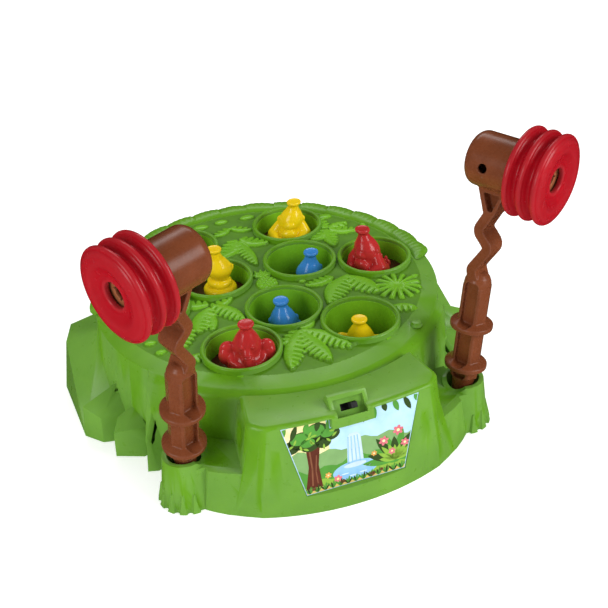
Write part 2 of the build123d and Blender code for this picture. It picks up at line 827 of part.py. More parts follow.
with BuildPart() as battery_door:
    with BuildSketch():
        door_outline(0)
    extrude(amount=door_thickness)
    post([(door_ear_x, door_ear_y)], screw_hole_radius, 0, door_thickness, Mode.SUBTRACT)
    post([(door_ear_x, door_ear_y)], head_hole, 0, door_thickness / 2, Mode.SUBTRACT)
save(battery_door, "battery_door")


def screws(places, bottom, length, upward=True):
    """Pan head screws: the head's outer face lies at bottom, the shank runs on from it."""
    way = 1 if upward else -1
    for x, y in places:
        face = Plane(origin=(x, y, bottom), z_dir=(0, 0, way))
        with BuildSketch(face) as section:
            Circle(screw_head_radius)
        extrude(section.sketch, amount=screw_head_height)
        with BuildSketch(face) as section:
            Circle(screw_radius)
        extrude(section.sketch, amount=length)
        with BuildSketch(face) as section:
            Rectangle(screw_head_radius, screw_radius / 3)
            Rectangle(screw_radius / 3, screw_head_radius)
        extrude(section.sketch, amount=screw_head_height / 2, mode=Mode.SUBTRACT)


with BuildPart() as battery_door_screw:
    screws([(door_ear_x, door_ear_y)], door_thickness / 2 - screw_head_height, door_screw_length)
save(battery_door_screw, "battery_door_screw")

with BuildPart() as case_screws:
    screws(case_boss_places + ledge_boss_places, 0, case_screw_length)
save(case_screws, "case_screws")

battery_tail_y = battery_box_back_y - battery_contact_thickness - battery_clearance / 2
with BuildPart() as batteries:
    for x in battery_xs:
        with BuildSketch(Plane(origin=(x, battery_tail_y, battery_z), z_dir=(0, -1, 0))) as section:
            Circle(battery_radius)
        extrude(section.sketch, amount=battery_length)
        nub_y = battery_tail_y - battery_length
        with BuildSketch(Plane(origin=(x, nub_y, battery_z), z_dir=(0, -1, 0))) as section:
            Circle(battery_nub_radius)
        extrude(section.sketch, amount=battery_nub_length)
save(batteries, "batteries")

contact_ys = (
    battery_tail_y + battery_contact_thickness / 2,
    battery_tail_y - battery_length - battery_nub_length - battery_contact_thickness / 2,
)
with BuildPart() as battery_contacts:
    for x in battery_xs:
        with Locations(*[(x, y, battery_z) for y in contact_ys]):
            Box(battery_contact_width, battery_contact_thickness, battery_contact_height)
save(battery_contacts, "battery_contacts")


# Toothed wheels

def tooth_half_angle(radius, pitch, teeth):
    """Half of a tooth's width, in degrees about the axis, at a radius on its flank."""
    base = pitch * cos(radians(pressure_angle))
    lean = acos(min(1, base / radius))
    pitch_lean = radians(pressure_angle)
    rolled = (tan(pitch_lean) - pitch_lean) - (tan(lean) - lean)
    return tooth_width_share * 180 / teeth + degrees(rolled)


def gear_outline(module, teeth, phase):
    """Involute teeth about the sketch's centre, the first tooth at the phase angle."""
    pitch = module * teeth / 2
    tip = pitch + addendum_share * module
    root = pitch - dedendum_share * module
    start = max(root, pitch * cos(radians(pressure_angle)))
    flank = [start, (start + pitch) / 2, pitch, (pitch + tip) / 2, tip]
    points = []
    for number in range(teeth):
        middle = phase + number * 360 / teeth
        rise = [(radius, -tooth_half_angle(radius, pitch, teeth)) for radius in flank]
        if root < start:
            rise.insert(0, (root, rise[0][1]))
        fall = [(radius, -angle) for radius, angle in reversed(rise)]
        points += [polar(radius, middle + angle) for radius, angle in rise + fall]
    with BuildLine() as outline:
        Polyline(*points, close=True)
    make_face(outline.edges())


def mesh_phase(teeth, phase, direction, next_teeth):
    """Phase of the next wheel, so that its gap meets a tooth of the first at direction."""
    place = teeth * (direction - phase) / 360
    return direction + 180 - (0.5 - place) * 360 / next_teeth


output_phase = mesh_phase(disc_teeth, 0, output_angle, output_teeth)
first_phase = mesh_phase(output_wheel_teeth, output_phase, first_direction, first_teeth)
motor_phase = mesh_phase(first_wheel_teeth, first_phase, motor_direction, motor_teeth)


def toothed(place, bottom, thickness, module, teeth, phase):
    with BuildSketch(Plane(origin=(place[0], place[1], bottom))) as section:
        gear_outline(module, teeth, phase)
    extrude(section.sketch, amount=thickness)


with BuildPart() as output_gear:
    toothed(output_place, disc_bottom, output_pinion_thickness, gear_module, output_teeth, output_phase)
    toothed(output_place, output_wheel_z, gear_thickness, fine_module, output_wheel_teeth, output_phase)
    post([output_place], gear_hub_radius, output_hub_bottom, output_top)
    post([output_place], pin_hole, 0, gearbox_plate_z, Mode.SUBTRACT)
save(output_gear, "output_gear")

first_top = gearbox_plate_z - running_gap
with BuildPart() as first_gear:
    pinion_thickness = first_wheel_z - output_wheel_z
    toothed(first_place, output_wheel_z, pinion_thickness, fine_module, first_teeth, first_phase)
    toothed(first_place, first_wheel_z, gear_thickness, fine_module, first_wheel_teeth, first_phase)
    post([first_place], gear_hub_radius, first_hub_bottom, first_top)
    post([first_place], pin_hole, 0, gearbox_plate_z, Mode.SUBTRACT)
save(first_gear, "first_gear")

motor_pinion_bottom = first_wheel_z - running_gap
with BuildPart() as motor_pinion:
    toothed(motor_place, motor_pinion_bottom, gear_thickness, fine_module, motor_teeth, motor_phase)
    post([motor_place], motor_shaft_radius + fit_gap, 0, gearbox_plate_z, Mode.SUBTRACT)
save(motor_pinion, "motor_pinion")

with BuildPart() as motor_shaft:
    post([motor_place], motor_shaft_radius, motor_pinion_bottom, gearbox_top + motor_bore_depth - running_gap)
save(motor_shaft, "motor_shaft")

with BuildPart() as gear_pins:
    post([output_place], pin_radius, base_thickness, output_top)
    post([first_place], pin_radius, base_thickness, gearbox_top)
save(gear_pins, "gear_pins")

nose_bottom = gearbox_top - motor_nose_height
with BuildPart() as gearbox_plate:
    with BuildSketch(Plane.XY.offset(gearbox_plate_z)) as pads:
        with Locations(*gearbox_posts, first_place):
            Circle(gearbox_pad)
        with Locations(motor_place):
            Circle(motor_radius)
    with BuildSketch(Plane.XY.offset(gearbox_plate_z)) as plate:
        make_hull(pads.sketch.edges())
    extrude(plate.sketch, amount=gearbox_plate_thickness)
    post([first_place], pin_hole, gearbox_plate_z, gearbox_top, Mode.SUBTRACT)
    post([motor_place], motor_nose_radius + fit_gap, gearbox_plate_z, gearbox_top, Mode.SUBTRACT)
    post(gearbox_posts, screw_hole_radius, gearbox_plate_z, gearbox_top, Mode.SUBTRACT)
save(gearbox_plate, "gearbox_plate")

with BuildPart() as gearbox_screws:
    screws(gearbox_posts, gearbox_top + screw_head_height, gearbox_screw_length, upward=False)
save(gearbox_screws, "gearbox_screws")

with BuildPart() as motor:
    with BuildSketch(Plane(origin=(*motor_place, gearbox_top))):
        Circle(motor_radius)
        Rectangle(2 * motor_radius, 2 * motor_flat_half, mode=Mode.INTERSECT)
    extrude(amount=motor_length)
    fillet(motor.faces().sort_by(Axis.Z)[-1].edges(), platform_rounding)
    post([motor_place], motor_nose_radius, nose_bottom, gearbox_top)
    post([motor_place], motor_shaft_radius + fit_gap, 0, gearbox_top + motor_bore_depth, Mode.SUBTRACT)
save(motor, "motor")

# Cam disc: toothed rim, two rings of crests that clear the stems at rest and at a quarter turn, hub
tracks = (
    (
        well_ring_radius, crest_first_ring, len(well_ring_angles),
        crest_foot_half_angle_ring, crest_top_half_angle_ring,
    ),
    (
        well_core_radius, crest_first_core, len(well_core_angles),
        crest_foot_half_angle_core, crest_top_half_angle_core,
    ),
)
with BuildPart() as crests:
    for radius, first_angle, count, foot_half_angle, top_half_angle in tracks:
        foot_half = radius * sin(radians(foot_half_angle))
        top_half = radius * sin(radians(top_half_angle))
        for number in range(count):
            angle = first_angle + number * 360 / count
            crest_plane = Plane(
                origin=(*polar(radius - track_width, angle), track_bottom),
                x_dir=(*polar(1, angle + 90), 0),
                z_dir=(*polar(1, angle), 0),
            )
            with BuildSketch(crest_plane) as crest:
                with BuildLine():
                    Polyline(
                        (-foot_half, 0), (foot_half, 0), (top_half, stroke), (-top_half, stroke),
                        close=True,
                    )
                make_face()
            extrude(crest.sketch, amount=2 * track_width)
    with BuildSketch(Plane.XY.offset(track_bottom)) as bands:
        Circle(well_ring_radius + track_width / 2)
        Circle(well_ring_radius - track_width / 2, mode=Mode.SUBTRACT)
        Circle(well_core_radius + track_width / 2)
        Circle(well_core_radius - track_width / 2, mode=Mode.SUBTRACT)
    extrude(bands.sketch, amount=stroke, mode=Mode.INTERSECT)

with BuildPart() as cam_disc:
    with BuildSketch(Plane.XY.offset(disc_bottom)):
        gear_outline(gear_module, disc_teeth, 0)
        with PolarLocations(disc_window_ring, disc_window_count):
            Circle(disc_window_radius, mode=Mode.SUBTRACT)
    extrude(amount=disc_thickness)
    add(crests.part)
    hub_top = guide_bottom - running_gap
    post([(0, 0)], hub_radius, disc_bottom - fit_gap, hub_top)
    post([(0, 0)], axle_radius + fit_gap, 0, guide_bottom, Mode.SUBTRACT)
save(cam_disc, "cam_disc")

with BuildPart() as disc_axle:
    post([(0, 0)], axle_radius, base_thickness, guide_top)
    chamfer(disc_axle.faces().sort_by(Axis.Z)[-1].edges(), fit_gap * 4)
save(disc_axle, "disc_axle")

with BuildPart() as thrust_washer:
    post([(0, 0)], washer_radius, disc_bottom - washer_thickness - plate_gap, disc_bottom - plate_gap)
    post([(0, 0)], axle_radius + fit_gap, 0, disc_bottom, Mode.SUBTRACT)
save(thrust_washer, "thrust_washer")

with BuildPart() as guide_plate:
    post([(0, 0)], guide_radius, guide_bottom, guide_top)
    post([polar(well_ring_radius, a) for a in well_ring_angles], guide_lobe_radius, guide_bottom, guide_top)
    post(guide_post_places, guide_post_radius, guide_bottom, guide_top)
    post(well_places, grommet_radius + fit_gap, guide_bottom, guide_top, Mode.SUBTRACT)
    post([(0, 0)], axle_radius + fit_gap, guide_bottom, guide_top, Mode.SUBTRACT)
    post(guide_post_places, screw_hole_radius, guide_bottom, guide_top, Mode.SUBTRACT)
    post(guide_post_places, head_hole, guide_bottom, guide_bottom + screw_head_height, Mode.SUBTRACT)
save(guide_plate, "guide_plate")

with BuildPart() as guide_screws:
    screws(guide_post_places, guide_bottom, guide_screw_length)
save(guide_screws, "guide_screws")

with BuildPart() as guide_grommets:
    post(well_places, grommet_radius, guide_bottom, guide_top)
    post(well_places, grommet_flange_radius, guide_top, guide_top + grommet_flange_thickness)
    post(well_places, stem_radius + stem_gap, 0, deck_height, Mode.SUBTRACT)
save(guide_grommets, "guide_grommets")


# Animals: well, species, height of the seat, shift of the foot, and turn about the upright

def knob(plane, x, y, top):
    """The flared knob that the hammer's mouth takes hold of."""
    neck_half = knob_neck_radius
    under = top - knob_cap_height
    neck_foot = under - 2 * knob_cap_height
    with BuildSketch(upright(plane).offset(-y)) as section:
        with BuildLine() as outline:
            Polyline((x, neck_foot), (x + neck_half, neck_foot), (x + neck_half, under))
            ThreePointArc(
                (x + neck_half, under),
                (x + knob_radius, (under + top) / 2),
                (x + knob_radius * knob_brow_share, top - knob_cap_height * knob_crown_share),
            )
            Polyline(
                (x + knob_radius * knob_brow_share, top - knob_cap_height * knob_crown_share),
                (x, top),
                (x, neck_foot),
            )
        make_face(outline.edges())
    revolve(section.sketch, axis=Axis(plane.from_local_coords((x, y, 0)), plane.z_dir))


def turned_form(plane, x, y, points):
    """A closed outline of radii and heights, turned about an upright axis at x, y."""
    with BuildSketch(upright(plane).offset(-y)) as section:
        with BuildLine() as outline:
            Polyline(*[(x + radius, height) for radius, height in points], close=True)
        make_face(outline.edges())
    revolve(section.sketch, axis=Axis(plane.from_local_coords((x, y, 0)), plane.z_dir))


def balls(plane, table, size):
    """Spheres at places given as shares of size, with their radii as shares too."""
    for x_share, y_share, z_share, radius_share in table:
        place = plane.from_local_coords((x_share * size, y_share * size, z_share * size))
        with Locations(place):
            Sphere(radius_share * size)


def flat_bottom(plane, size):
    """Cuts away what reaches below the foot."""
    with BuildSketch(plane) as section:
        Circle(size)
    extrude(section.sketch, amount=-size, mode=Mode.SUBTRACT)


# Shares of the figure's height. Forms: radii and heights of the body, turned about its
# upright axis. Balls: x, y, z, radius. Coils: y, z, radius of the ring and of the coil.
elephant_form_shares = (
    (0.0, 0.0), (0.34, 0.0), (0.40, 0.06), (0.40, 0.18), (0.33, 0.30), (0.27, 0.40), (0.265, 0.52),
    (0.23, 0.64), (0.17, 0.75), (0.12, 0.83), (0.105, 0.88), (0.0, 0.88),
)
elephant_ball_shares = (
    (0.22, -0.26, 0.11, 0.13), (-0.22, -0.26, 0.11, 0.13), (0.0, -0.25, 0.42, 0.10),
    (0.0, -0.31, 0.32, 0.085), (0.03, -0.35, 0.22, 0.075),
)
elephant_ear_shares = (0.355, 0.0, 0.47, 0.185, 0.19, 0.055)
gorilla_form_shares = (
    (0.0, 0.0), (0.36, 0.0), (0.41, 0.07), (0.41, 0.20), (0.35, 0.34), (0.28, 0.46), (0.24, 0.58),
    (0.19, 0.70), (0.14, 0.79), (0.105, 0.88), (0.0, 0.88),
)
gorilla_ball_shares = (
    (0.0, -0.19, 0.50, 0.12), (0.23, 0.0, 0.57, 0.07), (-0.23, 0.0, 0.57, 0.07),
    (0.34, -0.10, 0.24, 0.13), (-0.34, -0.10, 0.24, 0.13), (0.22, -0.30, 0.12, 0.13),
    (-0.22, -0.30, 0.12, 0.13),
)
snake_form_shares = (
    (0.0, 0.20), (0.14, 0.20), (0.14, 0.32), (0.20, 0.42), (0.24, 0.52), (0.23, 0.60), (0.17, 0.71),
    (0.12, 0.80), (0.095, 0.89), (0.0, 0.89),
)
snake_ball_shares = ((0.0, -0.20, 0.55, 0.13),)
snake_coil_shares = ((0.0, 0.10, 0.20, 0.10), (-0.01, 0.25, 0.13, 0.085))
snake_axis_share = -0.04
snake_bulge_share = 0.75


def body_form(plane, y_share, table, size):
    turned_form(plane, 0, y_share * size, [(radius * size, height * size) for radius, height in table])


def ears(plane, shares, size):
    """A pair of flat oval ears: place, half width, half height and half thickness as shares."""
    x_share, y_share, z_share, width_share, height_share, thickness_share = shares
    for side in (-1, 1):
        ear_plane = Plane(
            origin=plane.from_local_coords((side * x_share * size, y_share * size, z_share * size)),
            x_dir=plane.x_dir,
            z_dir=plane.y_dir,
        )
        with BuildSketch(ear_plane) as ear:
            Ellipse(width_share * size, height_share * size)
        extrude(ear.sketch, amount=thickness_share * size, both=True)


def coils(plane, table, size):
    """Coils of a snake's body, as rings with a bulging edge."""
    for y_share, z_share, ring_share, cord_share in table:
        ring = ring_share * size
        cord = cord_share * size
        low = z_share * size - cord
        waist = ring + cord * snake_bulge_share
        outline = [
            (0, low), (ring, low), (waist, low + cord / 4), (ring + cord, low + cord),
            (waist, low + 2 * cord - cord / 4), (ring, low + 2 * cord), (0, low + 2 * cord),
        ]
        turned_form(plane, 0, y_share * size, outline)


def elephant(plane):
    size = elephant_height
    body_form(plane, 0, elephant_form_shares, size)
    balls(plane, elephant_ball_shares, size)
    ears(plane, elephant_ear_shares, size)
    knob(plane, 0, 0, size)
    flat_bottom(plane, size)


def gorilla(plane):
    size = gorilla_height
    body_form(plane, 0, gorilla_form_shares, size)
    balls(plane, gorilla_ball_shares, size)
    knob(plane, 0, 0, size)
    flat_bottom(plane, size)


def snake(plane):
    size = snake_height
    coils(plane, snake_coil_shares, size)
    body_form(plane, snake_axis_share, snake_form_shares, size)
    balls(plane, snake_ball_shares, size)
    knob(plane, 0, snake_axis_share * size, size)
    flat_bottom(plane, size)


species_makers = {"elephant": elephant, "gorilla": gorilla, "snake": snake}
# Each figure: its well, its seat, the shift of its foot as shares of the platform's radius,
# and its turn about the upright
animal_shares = {
    "red_gorilla": ("ring_1", seat_high, (-0.10, 0.04), -60),
    "yellow_gorilla": ("ring_2", seat_high, (0.02, -0.07), -25),
    "red_snake": ("ring_3", seat_low, (0.04, 0.09), 20),
    "blue_elephant": ("ring_4", seat_low, (0.02, -0.04), 0),
    "red_elephant": ("ring_5", seat_high, (0.14, -0.04), -17),
    "yellow_elephant": ("ring_6", seat_low, (0.02, 0.02), -30),
    "blue_snake": ("core_1", seat_low, (0.15, -0.07), 50),
    "yellow_snake": ("core_2", seat_high, (0.15, 0.07), 100),
    "blue_gorilla": ("core_3", seat_low, (0.02, 0.04), -10),
}

for name, (well, seat, shift, turn) in animal_shares.items():
    x, y = wells[well]
    with BuildPart() as lifter:
        post([(x, y)], platform_radius, seat - platform_thickness, seat)
        fillet(lifter.faces().sort_by(Axis.Z)[-1].edges(), platform_rounding)
        post([(x, y)], stem_radius, stem_foot_z, seat - platform_thickness / 2)
        fillet(lifter.faces().sort_by(Axis.Z)[0].edges(), stem_foot_rounding)
    save(lifter, "lifter_" + well)
    place = Plane(
        origin=(x + shift[0] * platform_radius, y + shift[1] * platform_radius, seat),
        x_dir=(*polar(1, turn), 0),
        z_dir=(0, 0, 1),
    )
    with BuildPart() as animal:
        species_makers[name.split("_")[1]](place)
    save(animal, name)

# Hammers

def hammer_frame(foot_place, lean_shares, spin):
    """The plane through the shaft and the head: x towards the bellows' face, y up the shaft."""
    rim = Vector(foot_place[0], foot_place[1], holder_height)
    up = Vector(lean_shares[0], lean_shares[1], 1).normalized()
    ahead = Vector(*polar(1, spin), 0)
    ahead = (ahead - up * ahead.dot(up)).normalized()
    return Plane(origin=rim, x_dir=ahead, z_dir=ahead.cross(up))


neck_shares = ((0.0, -0.512), (-0.020, -0.468), (0.047, -0.352), (-0.016, -0.290), (0.024, -0.205))
bracket_shares = ((-0.045, -0.085), (0.088, -0.085), (0.046, -0.215), (0.003, -0.215))
bracket_pocket_shares = ((-0.012, -0.119), (0.018, -0.192), (0.036, -0.192), (0.062, -0.119))
dome_shares = ((1.0, 0.0), (0.96, 0.35), (0.82, 0.68), (0.60, 0.90), (0.40, 1.0))
neck_points = [(x * hammer_head_rise, y * hammer_head_rise) for x, y in neck_shares]
bracket_points = [(x * hammer_head_rise, y * hammer_head_rise) for x, y in bracket_shares]
bracket_pocket_points = [(x * hammer_head_rise, y * hammer_head_rise) for x, y in bracket_pocket_shares]
dome_radius = shaft_radius * cos(radians(180 / shaft_sides))
dome_points = [(x * dome_radius, shaft_top + y * shaft_dome_height) for x, y in dome_shares]
pocket_floor = shaft_radius - pocket_depth
low_ring, high_ring = shaft_ring_heights
pocket_spans = (
    (shaft_start, low_ring - shaft_ring_edge_half),
    (low_ring + shaft_ring_edge_half, high_ring - shaft_ring_edge_half),
    (high_ring + shaft_ring_edge_half, pocket_top),
)
bellows_crests = [bellows_crest_first - bellows_pitch * i for i in range(bellows_rib_count)]
bellows_rear = bellows_crests[-1] - bellows_rear_gap
catch_front = bellows_crest_first - catch_front_gap
catch_back = barrel_front - 2 * catch_flange_thickness


def head_plane(frame):
    return Plane(
        origin=frame.from_local_coords((0, hammer_head_rise, 0)),
        x_dir=frame.x_dir,
        z_dir=frame.z_dir,
    )


def turned(frame, points, axis, mode=Mode.ADD):
    """A round form: a closed outline in the frame's plane, turned about one of its axes."""
    with BuildSketch(frame) as section:
        with BuildLine() as outline:
            Polyline(*points, close=True)
        make_face(outline.edges())
    revolve(section.sketch, axis=axis, mode=mode)


for side_name, foot_place, lean_shares, spin in (
    ("left", hammer_left_foot, hammer_left_lean_shares, hammer_left_spin),
    ("right", hammer_right_foot, hammer_right_lean_shares, hammer_right_spin),
):
    frame = hammer_frame(foot_place, lean_shares, spin)
    head = head_plane(frame)
    shaft_axis = Axis(frame.origin, frame.y_dir)
    head_axis = Axis(head.origin, head.x_dir)
    cross_section = Plane(origin=frame.origin, x_dir=frame.x_dir, z_dir=frame.y_dir)

    with BuildPart() as handle:
        peg = [
            (0, -peg_length), (peg_tip_radius, -peg_length), (peg_top_radius, shaft_start), (0, shaft_start),
        ]
        turned(frame, peg, shaft_axis)
        with BuildSketch(cross_section.offset(shaft_start)):
            RegularPolygon(shaft_radius, shaft_sides)
        extrude(amount=shaft_top - shaft_start)
        dome_low = shaft_top - shaft_dome_height / 2
        dome = [(0, dome_low), (dome_radius, dome_low), *dome_points, (0, shaft_top + shaft_dome_height)]
        turned(frame, dome, shaft_axis)
        for height in shaft_ring_heights:
            turned(
                frame,
                [
                    (0, height - shaft_ring_half), (shaft_radius, height - shaft_ring_half),
                    (shaft_ring_radius, height - shaft_ring_edge_half),
                    (shaft_ring_radius, height + shaft_ring_edge_half),
                    (shaft_radius, height + shaft_ring_half), (0, height + shaft_ring_half),
                ],
                shaft_axis,
            )
        for side in (-1, 1):
            for start, end in pocket_spans:
                with BuildSketch(frame.offset(side * pocket_floor)) as pocket:
                    with Locations((0, (start + end) / 2)):
                        RectangleRounded(pocket_width, end - start, pocket_rounding)
                extrude(pocket.sketch, amount=side * shaft_ring_radius, mode=Mode.SUBTRACT)
        with BuildSketch(head) as neck:
            with BuildLine():
                FilletPolyline(*neck_points, radius=neck_rounding)
            trace(line_width=neck_thickness)
        extrude(neck.sketch, amount=neck_width / 2, both=True)
        with BuildSketch(head) as bracket:
            with BuildLine():
                Polyline(*bracket_points, close=True)
            make_face()
        extrude(bracket.sketch, amount=neck_width / 2, both=True)
        for side in (-1, 1):
            with BuildSketch(head.offset(side * neck_web / 2)) as bracket_pocket:
                with BuildLine():
                    Polyline(*bracket_pocket_points, close=True)
                make_face()
            extrude(bracket_pocket.sketch, amount=side * neck_width, mode=Mode.SUBTRACT)
        with BuildSketch(head) as barrel_section:
            with BuildLine():
                l1 = Line((-barrel_back, 0), (-barrel_back, barrel_radius - barrel_rounding))
                a1 = RadiusArc(l1 @ 1, (barrel_rounding - barrel_back, barrel_radius), barrel_rounding)
                Polyline(a1 @ 1, (barrel_front, barrel_radius), (barrel_front, 0), (-barrel_back, 0))
            make_face()
        revolve(barrel_section.sketch, axis=head_axis)
        bore = barrel_radius - barrel_wall
        turned(
            head,
            [(barrel_wall - barrel_back, 0), (barrel_wall - barrel_back, bore - barrel_rounding / 2),
             (barrel_rounding - barrel_back, bore), (barrel_front, bore), (barrel_front, 0)],
            head_axis, Mode.SUBTRACT,
        )
        with BuildSketch(head) as side_hole:
            Circle(barrel_hole_radius)
        extrude(side_hole.sketch, amount=barrel_radius + cut_overrun, mode=Mode.SUBTRACT)
    save(handle, side_name + "_hammer_handle")

    with BuildPart() as bellows:
        ridge = bellows_radius
        lip = ridge - bellows_wall / 2
        half = bellows_pitch / 6
        seat = barrel_radius + fit_gap
        with BuildSketch(head) as section:
            with BuildLine():
                rear = (bellows_rear, seat + bellows_wall)
                Line((bellows_rear, seat), rear)
                last = rear
                for number, crest in enumerate(reversed(bellows_crests)):
                    Line(last, (crest - half, lip))
                    arc = ThreePointArc((crest - half, lip), (crest, ridge), (crest + half, lip))
                    last = arc @ 1
                    if number < bellows_rib_count - 1:
                        root = (crest + bellows_pitch / 2, bellows_root_radius)
                        Line(last, root)
                        last = root
                face_x = bellows_crest_first + bellows_face_rise
                dish_x = face_x - bellows_dimple_depth
                inner_x = dish_x - bellows_wall
                lip_x = inner_x - bellows_lip_depth
                lip_outer = bellows_hole_radius + bellows_wall
                liner = bellows_root_radius - bellows_wall
                rim_x = face_x - bellows_wall
                Polyline(
                    last, (face_x, bellows_face_radius), (face_x, bellows_dimple_radius + bellows_wall),
                    (dish_x, bellows_dimple_radius - bellows_wall), (dish_x, bellows_hole_radius),
                    (lip_x, bellows_hole_radius), (lip_x, lip_outer), (inner_x, lip_outer),
                    (inner_x, bellows_dimple_radius - bellows_wall),
                    (rim_x, bellows_dimple_radius + bellows_wall),
                    (rim_x, bellows_face_radius - bellows_wall),
                    (inner_x, liner), (barrel_front + bellows_wall, liner), (barrel_front + fit_gap, seat),
                    (bellows_rear, seat),
                )
            make_face()
        revolve(section.sketch, axis=head_axis)
    save(bellows, side_name + "_bellows")

    with BuildPart() as catch:
        mouth = bore - fit_gap
        tube = catch_tube_radius - catch_tube_wall
        turned(
            head,
            [(catch_back, tube), (catch_back, mouth), (catch_back + catch_flange_thickness, mouth),
             (catch_back + catch_flange_thickness, catch_tube_radius), (catch_front, catch_tube_radius),
             (catch_front, catch_hole_radius), (catch_front - catch_tube_wall, catch_hole_radius),
             (catch_front - catch_tube_wall, tube)],
            head_axis,
        )
        catch_plane = Plane(
            origin=head.from_local_coords((catch_front - catch_tube_wall, 0, 0)),
            x_dir=head.z_dir, z_dir=head.x_dir,
        )
        with BuildSketch(catch_plane) as slots:
            Rectangle(catch_slot_length, catch_slot_width)
            Rectangle(catch_slot_width, catch_slot_length)
        extrude(slots.sketch, amount=catch_tube_wall + cut_overrun, mode=Mode.SUBTRACT)
    save(catch, side_name + "_catch")
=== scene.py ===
import bmesh
import bpy
import json
import math
import numpy as np
from mathutils import Matrix, Vector

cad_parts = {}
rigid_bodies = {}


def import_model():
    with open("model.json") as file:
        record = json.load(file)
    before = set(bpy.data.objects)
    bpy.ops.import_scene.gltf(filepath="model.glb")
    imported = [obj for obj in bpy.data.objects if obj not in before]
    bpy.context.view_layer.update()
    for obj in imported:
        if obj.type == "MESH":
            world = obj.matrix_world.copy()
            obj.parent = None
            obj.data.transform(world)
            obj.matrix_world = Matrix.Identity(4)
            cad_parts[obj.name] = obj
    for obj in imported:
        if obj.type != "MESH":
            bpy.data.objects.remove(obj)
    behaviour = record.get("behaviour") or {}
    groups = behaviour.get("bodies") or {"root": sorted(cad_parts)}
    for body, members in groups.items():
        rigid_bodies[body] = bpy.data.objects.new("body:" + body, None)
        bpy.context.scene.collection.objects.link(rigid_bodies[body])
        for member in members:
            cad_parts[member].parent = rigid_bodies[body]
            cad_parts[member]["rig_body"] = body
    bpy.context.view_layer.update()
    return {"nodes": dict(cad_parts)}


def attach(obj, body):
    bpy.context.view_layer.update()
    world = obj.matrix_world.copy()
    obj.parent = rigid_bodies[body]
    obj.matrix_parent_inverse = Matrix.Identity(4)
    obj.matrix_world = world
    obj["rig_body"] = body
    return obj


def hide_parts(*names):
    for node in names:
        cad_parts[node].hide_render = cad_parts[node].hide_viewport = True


# The looks of the jungle animal pounding game. Lengths below are in millimetres, in the
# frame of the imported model, and MM turns them into metres.
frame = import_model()
MM = 0.001

WELL_RING = 83.8
WELL_CORE = 37.2
WELLS = {"ring_%d" % (i + 1): (WELL_RING, 60.0 * i) for i in range(6)}
WELLS.update({"core_%d" % (i + 1): (WELL_CORE, a) for i, a in enumerate((30.0, 150.0, 270.0))})
WELLS = {k: (r * math.cos(math.radians(a)), r * math.sin(math.radians(a))) for k, (r, a) in WELLS.items()}
DECK = 67.0


# Materials. Each has a clouded colour, edges painted paler for both wear and a painted highlight, uneven gloss and a
# fine grain.

CLOUD_SPAN = (0.32, 0.72)
# Edge paling: part wear, part painted highlight.
EDGE_SPAN = (0.50, 0.62)
EDGE_PALE_SHARE, EDGE_PALE_LIFT = 0.6, 0.35
GLOSS_SPREAD = (-0.05, 0.08)
PATCH_SCALE = 4
GRAIN_STRENGTH = 0.25
PLASTIC_SHINE, METAL_SHINE = 0.22, 0.5
COAT_ROUGHNESS = 0.12
SCATTER_DEPTH = 0.004


def links(material):
    """An empty node tree with one shader: the tree and the shader."""
    material.use_nodes = True
    tree = material.node_tree
    tree.nodes.clear()
    out = tree.nodes.new("ShaderNodeOutputMaterial")
    shader = tree.nodes.new("ShaderNodeBsdfPrincipled")
    tree.links.new(shader.outputs["BSDF"], out.inputs["Surface"])
    return tree, shader


